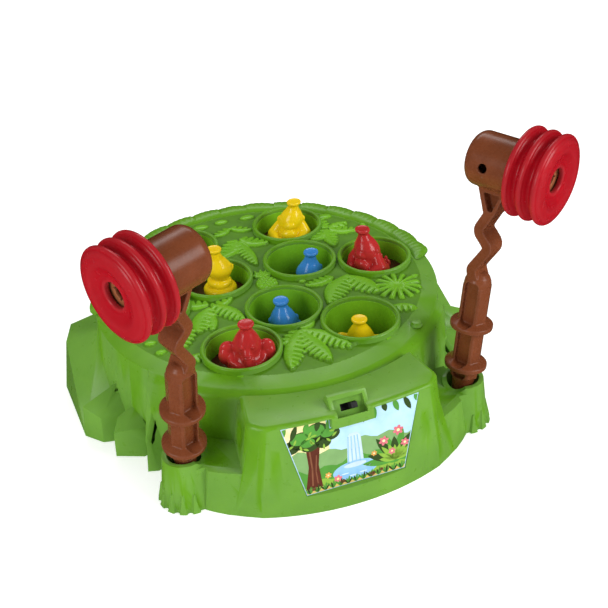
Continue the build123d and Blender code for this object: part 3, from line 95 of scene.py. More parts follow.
def plastic(name, tone, shade, rough=0.32, cloud=45.0, grain=2600.0, grain_depth=0.02, edge_wear_and_highlight=0.10, coat=0.0,
            metal=0.0, scatter=0.0):
    """Moulded plastic: clouded colour, fine grain, edges lightened for wear and as a painted highlight, and uneven
    gloss.
    """
    material = bpy.data.materials.new(name)
    tree, shader = links(material)
    new, join = tree.nodes.new, tree.links.new
    where = new("ShaderNodeTexCoord")
    soft = new("ShaderNodeTexNoise")
    soft.inputs["Scale"].default_value = cloud
    soft.inputs["Detail"].default_value = 4.0
    join(where.outputs["Object"], soft.inputs["Vector"])
    ramp = new("ShaderNodeValToRGB")
    ramp.color_ramp.elements[0].position = CLOUD_SPAN[0]
    ramp.color_ramp.elements[1].position = CLOUD_SPAN[1]
    ramp.color_ramp.elements[0].color = (*shade, 1)
    ramp.color_ramp.elements[1].color = (*tone, 1)
    join(soft.outputs["Fac"], ramp.inputs["Fac"])
    # Edges are painted paler where pointiness is high: partly wear, partly a painted highlight.
    edge = new("ShaderNodeNewGeometry")
    edge_ramp = new("ShaderNodeValToRGB")
    edge_ramp.color_ramp.elements[0].position = EDGE_SPAN[0]
    edge_ramp.color_ramp.elements[1].position = EDGE_SPAN[1]
    edge_ramp.color_ramp.elements[0].color = (0, 0, 0, 1)
    edge_ramp.color_ramp.elements[1].color = (edge_wear_and_highlight, edge_wear_and_highlight, edge_wear_and_highlight, 1)
    join(edge.outputs["Pointiness"], edge_ramp.inputs["Fac"])
    mix = new("ShaderNodeMix")
    mix.data_type = "RGBA"
    join(edge_ramp.outputs["Color"], mix.inputs["Factor"])
    join(ramp.outputs["Color"], mix.inputs["A"])
    mix.inputs["B"].default_value = (*[min(1, c * EDGE_PALE_SHARE + EDGE_PALE_LIFT) for c in tone], 1)
    join(mix.outputs["Result"], shader.inputs["Base Color"])
    gloss = new("ShaderNodeMapRange")
    gloss.inputs["To Min"].default_value = rough + GLOSS_SPREAD[0]
    gloss.inputs["To Max"].default_value = rough + GLOSS_SPREAD[1]
    patch = new("ShaderNodeTexNoise")
    patch.inputs["Scale"].default_value = cloud * PATCH_SCALE
    patch.inputs["Detail"].default_value = 3.0
    join(where.outputs["Object"], patch.inputs["Vector"])
    join(patch.outputs["Fac"], gloss.inputs["Value"])
    join(gloss.outputs["Result"], shader.inputs["Roughness"])
    fine = new("ShaderNodeTexNoise")
    fine.inputs["Scale"].default_value = grain
    fine.inputs["Detail"].default_value = 2.0
    join(where.outputs["Object"], fine.inputs["Vector"])
    bump = new("ShaderNodeBump")
    bump.inputs["Strength"].default_value = GRAIN_STRENGTH
    bump.inputs["Distance"].default_value = grain_depth * MM
    join(fine.outputs["Fac"], bump.inputs["Height"])
    join(bump.outputs["Normal"], shader.inputs["Normal"])
    shader.inputs["Metallic"].default_value = metal
    shader.inputs["Specular IOR Level"].default_value = METAL_SHINE if metal else PLASTIC_SHINE
    shader.inputs["Coat Weight"].default_value = coat
    shader.inputs["Coat Roughness"].default_value = COAT_ROUGHNESS
    if scatter:
        shader.inputs["Subsurface Weight"].default_value = scatter
        shader.inputs["Subsurface Radius"].default_value = tone
        shader.inputs["Subsurface Scale"].default_value = SCATTER_DEPTH
    return material


GREEN = plastic("leaf_green", (0.128, 0.330, 0.008), (0.104, 0.285, 0.006), rough=0.28, scatter=0.06)
# The ground's darker green is painted shade between the fronds, and the fronds' lighter green is painted light on
# their raised tops; the two also differ in gloss and grain.
SHADED_GROUND_GREEN = plastic("ground_green_painted_shade", (0.100, 0.262, 0.007), (0.078, 0.215, 0.005), rough=0.46, cloud=120.0,
                     grain=1400.0, grain_depth=0.07)
LIT_FROND_GREEN = plastic("frond_green_painted_light", (0.175, 0.450, 0.018), (0.145, 0.395, 0.012), rough=0.24, scatter=0.06)
# The sleeves' green is brighter than the housing's: a painted glow standing in for the light that fills the wells.
WELL_GREEN_PAINTED_GLOW = plastic("well_green_painted_glow", (0.170, 0.450, 0.006), (0.145, 0.395, 0.005), rough=0.26)
RED = plastic("figure_red", (0.500, 0.028, 0.027), (0.440, 0.020, 0.020), rough=0.17, coat=0.12, scatter=0.05)
YELLOW = plastic("figure_yellow", (0.860, 0.620, 0.006), (0.820, 0.560, 0.005), rough=0.17, coat=0.12,
                 scatter=0.06)
BLUE = plastic("figure_blue", (0.045, 0.250, 0.650), (0.038, 0.215, 0.590), rough=0.17, coat=0.12,
               scatter=0.04)
VINYL = plastic("bellows_red", (0.400, 0.004, 0.011), (0.345, 0.003, 0.009), rough=0.24, scatter=0.08)
BARK = plastic("bark_brown", (0.190, 0.052, 0.018), (0.158, 0.042, 0.014), rough=0.26, cloud=90.0,
               grain_depth=0.04)
CATCH = plastic("catch_brown", (0.330, 0.110, 0.040), (0.280, 0.090, 0.030), rough=0.30)
FLOOR_BROWN = plastic("platform_brown", (0.075, 0.012, 0.008), (0.058, 0.009, 0.006), rough=0.12, coat=0.3)
BLACK = plastic("black_plastic", (0.018, 0.018, 0.018), (0.012, 0.012, 0.012), rough=0.42)
BASE_GREEN = plastic("base_green", (0.150, 0.400, 0.016), (0.120, 0.340, 0.012), rough=0.50, grain_depth=0.06)
ACETAL = plastic("white_acetal", (0.780, 0.770, 0.720), (0.720, 0.710, 0.660), rough=0.40)
STEEL = plastic("plated_steel", (0.560, 0.570, 0.590), (0.470, 0.480, 0.500), rough=0.30, metal=1.0,
                cloud=220.0)
CELL = plastic("cell_film", (0.030, 0.030, 0.034), (0.020, 0.020, 0.024), rough=0.28, coat=0.4)


# Mesh helpers

WELD = 2e-6
FLAT = 1.0
SHADE_MARGIN = 8


def made(name, verts, faces, material, body, smooth=True):
    """A new piece from its vertices, in metres, and faces."""
    mesh = bpy.data.meshes.new(name)
    mesh.from_pydata([tuple(v) for v in verts], [], faces)
    mesh.update()
    return shown(name, mesh, material, body, smooth)


def shown(name, mesh, material, body, smooth=True, angle=None):
    """A mesh as a piece of the model, with sharp edges where its faces meet above the angle."""
    mesh.materials.clear()
    mesh.materials.append(material)
    mesh.polygons.foreach_set("use_smooth", [smooth] * len(mesh.polygons))
    if angle:
        mesh.set_sharp_from_angle(angle=math.radians(angle))
    piece = bpy.data.objects.new(name, mesh)
    bpy.context.scene.collection.objects.link(piece)
    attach(piece, body)
    return piece


def baked(name, mesh, *modifiers):
    """The mesh after a list of modifiers, each given as its type and its settings."""
    helper = bpy.data.objects.new(name + "_raw", mesh)
    bpy.context.scene.collection.objects.link(helper)
    for kind, settings in modifiers:
        modifier = helper.modifiers.new(kind, kind)
        for key, value in settings.items():
            setattr(modifier, key, value)
    view = bpy.context.evaluated_depsgraph_get()
    result = bpy.data.meshes.new_from_object(helper.evaluated_get(view))
    result.name = name
    bpy.data.objects.remove(helper)
    return result


def copy_of(node, change=None):
    """A welded copy of a CAD node's mesh with its flat faces joined up."""
    mesh = frame["nodes"][node].data.copy()
    bm = bmesh.new()
    bm.from_mesh(mesh)
    bmesh.ops.remove_doubles(bm, verts=bm.verts, dist=WELD)
    if change:
        change(bm)
    bmesh.ops.dissolve_limit(bm, angle_limit=math.radians(FLAT), verts=bm.verts, edges=bm.edges)
    bm.to_mesh(mesh)
    bm.free()
    return mesh


def moulded(node, material, bevel=0.35, angle=32, change=None):
    """A CAD node's shape with rounded edges and smooth shading, standing for the node."""
    mesh = copy_of(node, change)
    steps = []
    if bevel:
        steps.append(("BEVEL", {"width": bevel * MM, "segments": 2, "limit_method": "ANGLE",
                                "angle_limit": math.radians(angle), "use_clamp_overlap": True}))
    mesh = baked(node + "_shape", mesh, *steps)
    piece = shown(node + "_look", mesh, material, frame["nodes"][node]["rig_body"],
                  angle=angle + SHADE_MARGIN)
    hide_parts(node)
    return piece


def softened(node, material, voxel, rounds):
    """A CAD node's shape with every edge rounded, as a small moulding's are."""
    mesh = baked(
        node + "_shape", copy_of(node),
        ("REMESH", {"mode": "VOXEL", "voxel_size": voxel * MM}),
        ("SMOOTH", {"factor": 0.5, "iterations": rounds}),
    )
    piece = shown(node + "_look", mesh, material, frame["nodes"][node]["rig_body"])
    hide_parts(node)
    return piece


def turned(name, profile, origin, axis, material, body, steps):
    """A profile of (distance along the axis, radius) turned about the axis."""
    axis = Vector(axis).normalized()
    side = axis.orthogonal().normalized()
    other = axis.cross(side)
    verts, faces = [], []
    n = len(profile)
    for i in range(steps):
        a = 2 * math.pi * i / steps
        out = side * math.cos(a) + other * math.sin(a)
        for along, radius in profile:
            verts.append((Vector(origin) + axis * along + out * radius) * MM)
    for i in range(steps):
        j = (i + 1) % steps
        for k in range(n):
            m = (k + 1) % n
            faces.append((i * n + k, j * n + k, j * n + m, i * n + m))
    return made(name, verts, faces, material, body)


# The deck's relief, as a height over the flat deck

# Each frond has its foot's x and y, its tip's x and y, its width, its bend and its height.
FRONDS = (
    (-1, 67, -20, 45, 15, 3.0, 2.4), (1, 67, 20, 53, 14, -3.0, 2.4), (-1, 66, 2, 26, 11, 1.5, 2.0),
    (68, 53, 51, 42, 12, 2.5, 2.2), (68, 53, 63, 27, 11, -2.0, 2.2), (69, 54, 86, 58, 12, 2.0, 2.2),
    (69, 53, 90, 43, 12, -2.5, 2.2), (67, 55, 68, 76, 11, 2.0, 2.0),
    (46, -14, 23, -17, 11, 2.0, 2.2), (56, -16, 30, -46, 17, -4.0, 2.6), (54, -16, 68, -46, 17, 3.0, 2.6),
    (-44, -14, -29, -40, 13, 3.0, 2.6), (-46, -16, -28, -9, 10, -2.0, 2.0), (-46, -12, -67, -3, 12, 2.0, 2.2),
    (-47, -16, -63, -42, 15, -3.0, 2.4), (-49, -20, -52, -44, 10, 1.0, 2.0),
    (-66, -34, -80, -57, 12, -2.0, 2.2),
    (0, -68, -20, -106, 14, -3.0, 2.8), (0, -68, 7, -108, 15, 1.5, 2.8), (1, -68, 25, -99, 15, 3.5, 2.8),
    (-1, -67, -17, -79, 10, 2.0, 2.2), (1, -66, 14, -59, 9, -2.0, 2.0), (66, -66, 85, -75, 10, 2.0, 2.0),
    (-68, 53, -51, 42, 12, -2.5, 2.2), (-68, 53, -63, 27, 11, 2.0, 2.2), (-69, 54, -87, 57, 12, -2.0, 2.2),
    (-69, 53, -90, 43, 12, 2.5, 2.2), (-67, 55, -68, 76, 11, -2.0, 2.0),
    (-66, -66, -85, -75, 10, -2.0, 2.0), (0, 88, -17, 80, 9, 2.0, 1.8), (0, 88, 16, 79, 9, -2.0, 1.8),
)
# Each pebble has its place and its two half widths.
PEBBLES = (
    (-20, 100, 6.4, 4.2), (-3, 101, 5.6, 3.8), (18, 100, 6.2, 4.0), (36, 101, 5.4, 3.6), (-37, 98, 5.6, 3.8),
    (74, 75, 6.6, 4.6), (97, 50, 3.6, 2.6), (-74, 75, 5.0, 3.4), (-95, -40, 4.4, 3.0), (-91, -53, 4.0, 3.0),
    (75, -90, 4.4, 3.0), (-75, -90, 4.4, 3.0), (99, -36, 3.6, 2.4), (34, -5, 4.0, 2.6), (24, -9, 3.0, 2.0),
    (-34, -1, 3.4, 2.2), (-98, 44, 4.0, 2.6), (52, -99, 3.2, 2.2), (-52, -99, 3.2, 2.2), (-99, -18, 3.4, 2.4),
)
# The star palm has its place, its reach and its number of rays, and the fruit its middle and half widths.
PALM = (82.5, -43.5, 17.5, 14)
FRUIT = (-1.5, 8.0, 9.6)
FRUIT_CROWN = (-62, -34, -8, 20, 48)
PEBBLE_RISE = 1.9
LEAFLET_SPACING = 4.6
LEAFLET_SLANT = 0.5
FROND_SKEW, FROND_FULLNESS = 0.8, 0.55
OUTER_SHARE, INNER_SHARE = 0.36, 0.80
TIP_SHARE, TIP_GROWTH = 0.80, 0.40
INNER_FALL, INNER_EDGE = 0.42, 0.16
CUT_START = 0.26
CUT_FLOOR = 0.36
CUT_GAP, CUT_WIDENING, CUT_SLOPE = 0.02, 0.15, 0.09
VEIN_DEPTH, VEIN_WIDTH = 0.16, 0.13
STAR_ARM, STAR_ARM_GROWTH = 1.5, 0.045
STAR_RISE, STAR_SWELL, STAR_TIP = 1.9, 0.9, 2.4
STAR_HEART, STAR_HEART_RISE = 2.8, 2.2
FRUIT_RISE, FRUIT_KNOB, FRUIT_KNOB_TURN, FRUIT_EDGE = 2.4, 1.1, 0.72, 0.92
CROWN_FOOT, CROWN_REACH, CROWN_LEAF = 7, (10.5, 11.5), (4.2, 0.8, 2.0)


def frond_height(x, y, foot_x, foot_y, tip_x, tip_y, width, bend, rise):
    """A bowed leaf: its outer half is smooth and its inner half is cut into leaflets."""
    ux, uy = tip_x - foot_x, tip_y - foot_y
    length = math.hypot(ux, uy)
    ux, uy = ux / length, uy / length
    along = ((x - foot_x) * ux + (y - foot_y) * uy) / length
    across = (x - foot_x) * -uy + (y - foot_y) * ux
    t = np.clip(along, 0, 1)
    across = (across - bend * np.sin(np.pi * t)) * (1 if bend > 0 else -1)
    away = np.abs(across)
    swell = width * np.sin(np.pi * t ** FROND_SKEW) ** FROND_FULLNESS
    inner = across < 0
    count = max(4, round(length / LEAFLET_SPACING))
    phase = t * count - LEAFLET_SLANT * away / width
    off = np.abs(phase - np.round(phase))
    tips = TIP_SHARE + TIP_GROWTH * off
    half = np.maximum(np.where(inner, INNER_SHARE * tips, OUTER_SHARE) * swell, 0.3)
    u = away / half
    outer_dome = np.clip(1 - u * u, 0, 1) ** 0.5
    inner_dome = (1 - INNER_FALL * np.clip(u, 0, 1) ** 2) * np.clip((1 - u) / INNER_EDGE, 0, 1) ** 0.5
    body = rise * np.where(inner, inner_dome, outer_dome)
    gap = CUT_GAP + CUT_WIDENING * np.clip((u - CUT_START) / (1 - CUT_START), 0, 1)
    notch = np.clip((off - gap) / CUT_SLOPE, 0, 1) ** 0.6
    cut = np.where(inner & (u > CUT_START), notch, 1.0)
    veins = VEIN_DEPTH * np.exp(-(off / VEIN_WIDTH) ** 2) * np.clip(u * 2.5, 0, 1) * (~inner)
    height = (body - veins) * (CUT_FLOOR + (1 - CUT_FLOOR) * cut)
    return np.where((along > -0.01) & (along < 1.01) & (u < 1), height, 0.0)


def star_height(x, y):
    """The star palm: rays round a heart."""
    px, py, reach, rays = PALM
    r = np.hypot(x - px, y - py)
    turn = np.arctan2(y - py, x - px) * rays / (2 * np.pi)
    off = r * np.sin((turn - np.round(turn)) * 2 * np.pi / rays)
    arm = np.sqrt(np.clip(1 - (off / (STAR_ARM + STAR_ARM_GROWTH * r)) ** 2, 0, 1))
    crest = STAR_RISE + STAR_SWELL * np.sin(np.pi * np.clip(r / reach, 0, 1))
    star = crest * arm * np.clip((reach - r) / STAR_TIP, 0, 1) ** 0.5
    return np.maximum(star, STAR_HEART_RISE * np.sqrt(np.clip(1 - (r / STAR_HEART) ** 2, 0, 1)))


def fruit_height(x, y):
    """The knobbed fruit with its crown of leaves."""
    middle, half_x, half_y = FRUIT
    u, v = x / half_x, (y - middle) / half_y
    d = u * u + v * v
    knobs = np.abs(np.sin((x + y) * FRUIT_KNOB_TURN)) * np.abs(np.sin((x - y) * FRUIT_KNOB_TURN))
    dome = FRUIT_RISE * np.sqrt(np.clip(1 - d, 0, 1)) + FRUIT_KNOB * knobs * (d < FRUIT_EDGE)
    height = np.where(d < 1, dome, 0)
    for turn in FRUIT_CROWN:
        way = math.radians(90 + turn)
        tip = CROWN_REACH[0] * math.cos(way), CROWN_FOOT + CROWN_REACH[1] * math.sin(way)
        height = np.maximum(height, frond_height(x, y, 0, CROWN_FOOT, *tip, *CROWN_LEAF))
    return height


def relief(x, y):
    """The height of the plants and pebbles, and the gentle swell of the ground between them."""
    height = np.zeros_like(x)
    for values in FRONDS:
        height = np.maximum(height, frond_height(x, y, *values))
    for px, py, a, b in PEBBLES:
        d = ((x - px) / a) ** 2 + ((y - py) / b) ** 2
        height = np.maximum(height, PEBBLE_RISE * np.clip(1 - d, 0, 1) ** 0.4)
    height = np.maximum(height, star_height(x, y))
    height = np.maximum(height, fruit_height(x, y))
    swell = 0.28 * np.sin(x * 0.16 + 1.3 * np.sin(y * 0.07)) * np.cos(y * 0.13 + 0.9 * np.sin(x * 0.09))
    return height, swell


SHEET_STEP = 0.55
SHEET_REACH = 112.0
SHEET_LIFT = 0.03
SHEET_WELL = 25.4
FROND_START = 0.55


def deck_sheet():
    """The deck as one fine grid between the wells. What stands on it has a lighter material: painted light on the
    raised fronds, over painted shade on the ground between them.
    """
    reach = SHEET_REACH
    count = int(2 * reach / SHEET_STEP) + 1
    line = np.linspace(-reach, reach, count)
    x, y = np.meshgrid(line, line)
    r = np.hypot(x, y)
    near = np.full_like(x, 1e9)
    for wx, wy in WELLS.values():
        near = np.minimum(near, np.hypot(x - wx, y - wy))
    height, swell = relief(x, y)
    fade = np.clip((110.5 - r) / 4.0, 0, 1) * np.clip((near - 26.2) / 1.6, 0, 1)
    base = DECK + SHEET_LIFT + np.where(r > 110, -(r - 110) * 0.22 - 0.15, 0)
    z = base + height * np.clip((111.5 - r) / 2.5, 0, 1) + (swell + 0.28) * fade * 0.7
    keep = (r < reach) & (near > SHEET_WELL)
    index = -np.ones(x.shape, int)
    index[keep] = np.arange(keep.sum())
    verts = np.stack([x[keep], y[keep], z[keep]], 1) * MM
    quad = keep[:-1, :-1] & keep[1:, :-1] & keep[:-1, 1:] & keep[1:, 1:]
    a, b = index[:-1, :-1][quad], index[:-1, 1:][quad]
    c, d = index[1:, 1:][quad], index[1:, :-1][quad]
    faces = np.stack([a, b, c, d], 1)
    sheet = made("deck_relief", verts.tolist(), faces.tolist(), SHADED_GROUND_GREEN, "base")
    sheet.data.materials.append(LIT_FROND_GREEN)
    # Faces above the threshold take the lighter green: painted light on the fronds, over the ground's painted shade.
    raised = height[keep][faces].min(axis=1) > FROND_START
    sheet.data.polygons.foreach_set("material_index", raised.astype(int).tolist())


RIM_SPAN = (-7.0, 176.0)
RIM_LEAVES = 17
RIM_FOOT = 111.8
RIM_REACH = 123.0
RIM_BULGE = 2.4
RIM_FADE = 5
RIM_OVERLAP = 1.1
RIM_NICK = 0.35
RIM_MIDDLE = 84
RIM_SHARP = 38
RIM_SECTION = [
    (0.0, -0.3), (0.10, 0.7), (0.35, 1.5), (0.70, 1.5), (0.90, 1.0), (1.0, 0.0), (1.0, -2.4), (0.86, -5.0),
]


def leaf_rim():
    """The band of overlapping leaves around the back edge, above the plain leaves of the solid."""
    start, end = RIM_SPAN
    steps = 30 * RIM_LEAVES
    rings = []
    for i in range(steps + 1):
        angle = start + (end - start) * i / steps
        phase = i / steps * RIM_LEAVES % 1
        phase = phase if angle > RIM_MIDDLE else 1 - phase
        full = min(1.0, (angle - start) / RIM_FADE, (end - angle) / RIM_FADE)
        reach = RIM_REACH + RIM_BULGE * math.sin(math.pi * phase) ** 0.6 - RIM_FOOT
        way = math.radians(angle)
        ring = []
        for share, height in RIM_SECTION:
            radius = RIM_FOOT + reach * share * (0.25 + 0.75 * full)
            nick = RIM_NICK * share * math.sin(math.pi * phase * 5) ** 8
            rise = height * full + RIM_OVERLAP * (1 - phase) * share * full - nick
            ring.append((radius * math.cos(way) * MM, radius * math.sin(way) * MM, (DECK + rise) * MM))
        rings.append(ring)
    width = len(RIM_SECTION)
    verts = [point for ring in rings for point in ring]
    faces = [(i * width + k, i * width + k + 1, (i + 1) * width + k + 1, (i + 1) * width + k)
             for i in range(steps) for k in range(width - 1)]
    rim = made("leaf_rim", verts, faces, GREEN, "base")
    rim.data.set_sharp_from_angle(angle=math.radians(RIM_SHARP))


RELIEF_REACH = 113
RELIEF_TOP = 2.4
RELIEF_START = 0.01
RELIEF_SINK = 0.1
WELL_RIM = 27.35


def lower_relief(bm):
    """The relief of the plain solid sinks under the detailed deck sheet."""
    for v in bm.verts:
        x, y, z = (c / MM for c in v.co)
        if DECK + RELIEF_START < z < DECK + RELIEF_TOP and math.hypot(x, y) < RELIEF_REACH:
            if min(math.hypot(x - wx, y - wy) for wx, wy in WELLS.values()) > WELL_RIM:
                v.co.z = (DECK - RELIEF_SINK) * MM


moulded("top_housing", GREEN, bevel=0.45, angle=34, change=lower_relief)
deck_sheet()
leaf_rim()
moulded("well_sleeves", WELL_GREEN_PAINTED_GLOW, bevel=0.25, angle=40)
moulded("base_plate", BASE_GREEN, bevel=0.2, angle=40)
moulded("battery_door", BASE_GREEN, bevel=0.3, angle=40)
moulded("switch_knob", BLACK, bevel=0.3)
for node in ("switch_body", "guide_plate", "gearbox_plate"):
    moulded(node, BLACK, bevel=0.2, angle=40)
for node in ("cam_disc", "output_gear", "first_gear", "motor_pinion", "guide_grommets"):
    moulded(node, ACETAL, bevel=0.12, angle=40)
for node in ("battery_door_screw", "case_screws", "disc_axle", "thrust_washer", "guide_screws", "gear_pins",
             "gearbox_screws", "motor", "motor_shaft", "battery_contacts"):
    moulded(node, STEEL, bevel=0.1, angle=40)
moulded("batteries", CELL, bevel=0.3, angle=40)
for key in WELLS:
    moulded("lifter_" + key, FLOOR_BROWN, bevel=0, angle=30)

# Figures, each made of blobs that are joined and smoothed like a hollow moulding. Each has its well, the
# height of its platform, its shift in the well, its turn, and how far its knob leans to the right and away
# from the camera. VIEW_AWAY is the camera's direction over the deck.

FIGURES = {
    "red_gorilla": ("ring_1", 55.5, (-2.30, 0.92), -60.0, (-5.4, 2.6)),
    "yellow_gorilla": ("ring_2", 55.5, (0.46, -1.61), -25.0, (5.2, -1.6)),
    "red_snake": ("ring_3", 37.5, (0.92, 2.07), 20.0, (0.0, 0.0)),
    "blue_elephant": ("ring_4", 37.5, (0.46, -0.92), 0.0, (1.0, 0.0)),
    "red_elephant": ("ring_5", 55.5, (3.22, -0.92), -17.0, (0.9, -3.4)),
    "yellow_elephant": ("ring_6", 37.5, (0.46, 0.46), -30.0, (-1.3, -5.6)),
    "blue_snake": ("core_1", 37.5, (3.45, -1.61), 50.0, (2.6, -2.6)),
    "yellow_snake": ("core_2", 55.5, (3.45, 1.61), 100.0, (-2.4, -5.4)),
    "blue_gorilla": ("core_3", 37.5, (0.46, 0.92), -10.0, (-2.0, 2.2)),
}
LEAN_RISE = 34.0
LEAN_CURVE = 1.4
FIGURE_VOXEL = 0.45
FOOT_CUT = 0.02
VIEW_AWAY = Vector((0.324, 0.946, 0))
VIEW_RIGHT = Vector((VIEW_AWAY.y, -VIEW_AWAY.x, 0))
PAINT = {"red": RED, "yellow": YELLOW, "blue": BLUE}


def ball(bm, x, y, z, rx, ry=None, rz=None, tilt=(0, 0, 0)):
    """A ball or egg, given by its place, its half widths and its turns about x, y and z."""
    ry, rz = ry or rx, rz or rx
    about_x, about_y, about_z = (Matrix.Rotation(math.radians(t), 4, axis) for t, axis in zip(tilt, "XYZ"))
    size = Matrix.Diagonal((rx * MM, ry * MM, rz * MM, 1))
    place = Matrix.Translation((x * MM, y * MM, z * MM)) @ (about_z @ about_y @ about_x) @ size
    bmesh.ops.create_icosphere(bm, subdivisions=3, radius=1.0, matrix=place)


def limb(bm, points):
    """A chain of balls from point to point, each given as x, y, z and radius."""
    for (x0, y0, z0, r0), (x1, y1, z1, r1) in zip(points, points[1:]):
        gap = math.dist((x0, y0, z0), (x1, y1, z1))
        steps = max(2, int(gap / (0.3 * min(r0, r1))) + 1)
        for i in range(steps + 1):
            t = i / steps
            ball(bm, x0 + (x1 - x0) * t, y0 + (y1 - y0) * t, z0 + (z1 - z0) * t, r0 + (r1 - r0) * t)


def lathe(bm, profile, x=0.0, y=0.0, steps=48):
    """A closed form from (radius, height) pairs, turned about an upright axis."""
    rings = []
    for radius, z in profile:
        rings.append([bm.verts.new(((x + radius * math.cos(2 * math.pi * i / steps)) * MM,
                                    (y + radius * math.sin(2 * math.pi * i / steps)) * MM, z * MM))
                      for i in range(steps)])
    for low, high in zip(rings, rings[1:]):
        for i in range(steps):
            j = (i + 1) % steps
            bm.faces.new((low[i], low[j], high[j], high[i]))
    bm.faces.new(list(reversed(rings[0])))
    bm.faces.new(rings[-1])


KNOB_NECK = 4.2
KNOB_SECTION = [
    (3.75, 5.0), (3.8, 4.0), (4.5, 3.0), (5.3, 2.1), (5.5, 1.3), (5.3, 0.4), (4.7, 0.0), (3.9, 0.3), (0.4, 0.5),
]


def knob(bm, x, y, top, neck):
    """The flared knob with its shallow rimmed crown."""
    flare = [(radius, top - below) for radius, below in KNOB_SECTION]
    lathe(bm, [(KNOB_NECK, neck)] + flare, x, y)


def pear(bm, profile, y=0.0):
    """A round body from a few (radius, height) pairs, eased between them."""
    eased = []
    for i in range(len(profile) - 1):
        p0, p1 = profile[max(i - 1, 0)], profile[i]
        p2, p3 = profile[i + 1], profile[min(i + 2, len(profile) - 1)]
        for k in range(5):
            t = k / 5
            eased.append(tuple(
                0.5 * (2 * b + (c - a) * t + (2 * a - 5 * b + 4 * c - d) * t * t + (3 * b - a - 3 * c + d) * t ** 3)
                for a, b, c, d in zip(p0, p1, p2, p3)))
    lathe(bm, eased + [profile[-1]], 0.0, y)


# The bodies, as (radius, height) pairs from the foot to the neck
ELEPHANT_BODY = [
    (12.2, 0.0), (14.3, 2.2), (14.4, 6.5), (11.9, 10.8), (9.8, 14.4), (9.6, 18.7), (8.2, 23.0), (6.1, 27.0),
    (4.4, 29.9), (3.8, 31.9),
]
GORILLA_BODY = [
    (11.6, 0.0), (12.9, 2.5), (12.2, 7.0), (9.6, 11.2), (8.9, 14.2), (9.5, 17.6), (9.2, 21.6), (7.4, 25.6),
    (5.2, 28.8), (3.8, 31.9),
]
SNAKE_BODY = [
    (5.9, 8.0), (5.7, 12.4), (7.6, 16.4), (9.7, 20.8), (9.5, 24.6), (7.1, 29.1), (4.9, 32.8), (3.9, 36.6),
]
FIGURE_TOP, FIGURE_NECK = 36.0, 29.0
SNAKE_TOP, SNAKE_NECK = 41.0, 33.5


def elephant(bm):
    pear(bm, ELEPHANT_BODY)
    for side in (-1, 1):
        ball(bm, side * 7.9, -9.3, 4.0, 4.6, 4.6, 4.4)
        for toe in (-2.6, 0.0, 2.6):
            ball(bm, side * 7.9 + toe, -13.0, 1.9, 1.35, 1.2, 1.5)
        arm = [(side * 10.2, -3.0, 12.0, 3.6), (side * 10.0, -7.0, 9.0, 3.2), (side * 6.5, -10.2, 8.0, 2.8)]
        limb(bm, arm)
        ball(bm, side * 11.6, -0.6, 12.8, 6.6, 4.4, 9.2, (0, side * 16, side * -10))
        ball(bm, side * 13.6, -2.4, 10.4, 5.2, 4.2, 7.6, (0, side * 14, side * -18))
        ball(bm, side * 3.6, -8.4, 20.6, 1.25, 1.0, 1.25)
        limb(bm, [(side * 2.9, -9.2, 14.6, 1.1), (side * 3.6, -11.8, 12.8, 0.75)])
    limb(bm, [(0, -7.2, 17.2, 3.6), (0, -10.2, 13.6, 3.1), (0.5, -12.0, 10.4, 2.6), (1.2, -12.8, 7.4, 2.3),
              (3.2, -13.0, 5.6, 2.1)])
    for z in (16.4, 14.8, 13.2, 11.6, 10.0, 8.6):
        ball(bm, 0.3, -10.9 - (17 - z) * 0.17, z, 2.9 - (17 - z) * 0.05, 2.4, 0.55)
    knob(bm, 0, 0, FIGURE_TOP, FIGURE_NECK)


def gorilla(bm):
    pear(bm, GORILLA_BODY)
    ball(bm, 0, -7.2, 18.0, 4.9, 3.9, 3.9)
    ball(bm, 0, -6.8, 22.2, 4.6, 1.9, 1.4)
    for side in (-1, 1):
        ball(bm, side * 8.4, -0.2, 20.6, 2.5, 1.8, 2.8)
        ball(bm, side * 1.5, -10.4, 18.9, 0.75, 0.6, 0.55)
        ball(bm, side * 2.6, -7.9, 21.0, 0.95, 0.7, 0.85)
        arm = [(side * 8.2, -0.5, 15.5, 4.0), (side * 12.0, -2.6, 9.0, 4.8), (side * 10.0, -8.8, 7.0, 4.0)]
        limb(bm, arm)
        ball(bm, side * 11.4, -1.0, 5.6, 5.8, 7.4, 5.6)
        for finger in (-2.2, 0.0, 2.2):
            ball(bm, side * 7.6, -12.4, 7.0 + finger, 2.0, 1.6, 1.05)
        ball(bm, side * 8.0, -10.2, 4.2, 4.8, 5.0, 4.3)
        for toe in (-3.4, -1.1, 1.1, 3.4):
            ball(bm, side * 8.0 + toe, -14.2 + abs(toe) * 0.25, 1.8, 1.25, 1.4, 1.6)
    ball(bm, 0, -9.6, 10.4, 6.2, 3.4, 5.4)
    for tuft in range(7):
        a = math.radians(-90 + (tuft - 3) * 24 + 180)
        ball(bm, 13.8 * math.cos(a), 13.8 * math.sin(a), 6.5, 1.5, 1.5, 3.4)
    knob(bm, 0, 0, FIGURE_TOP, FIGURE_NECK)


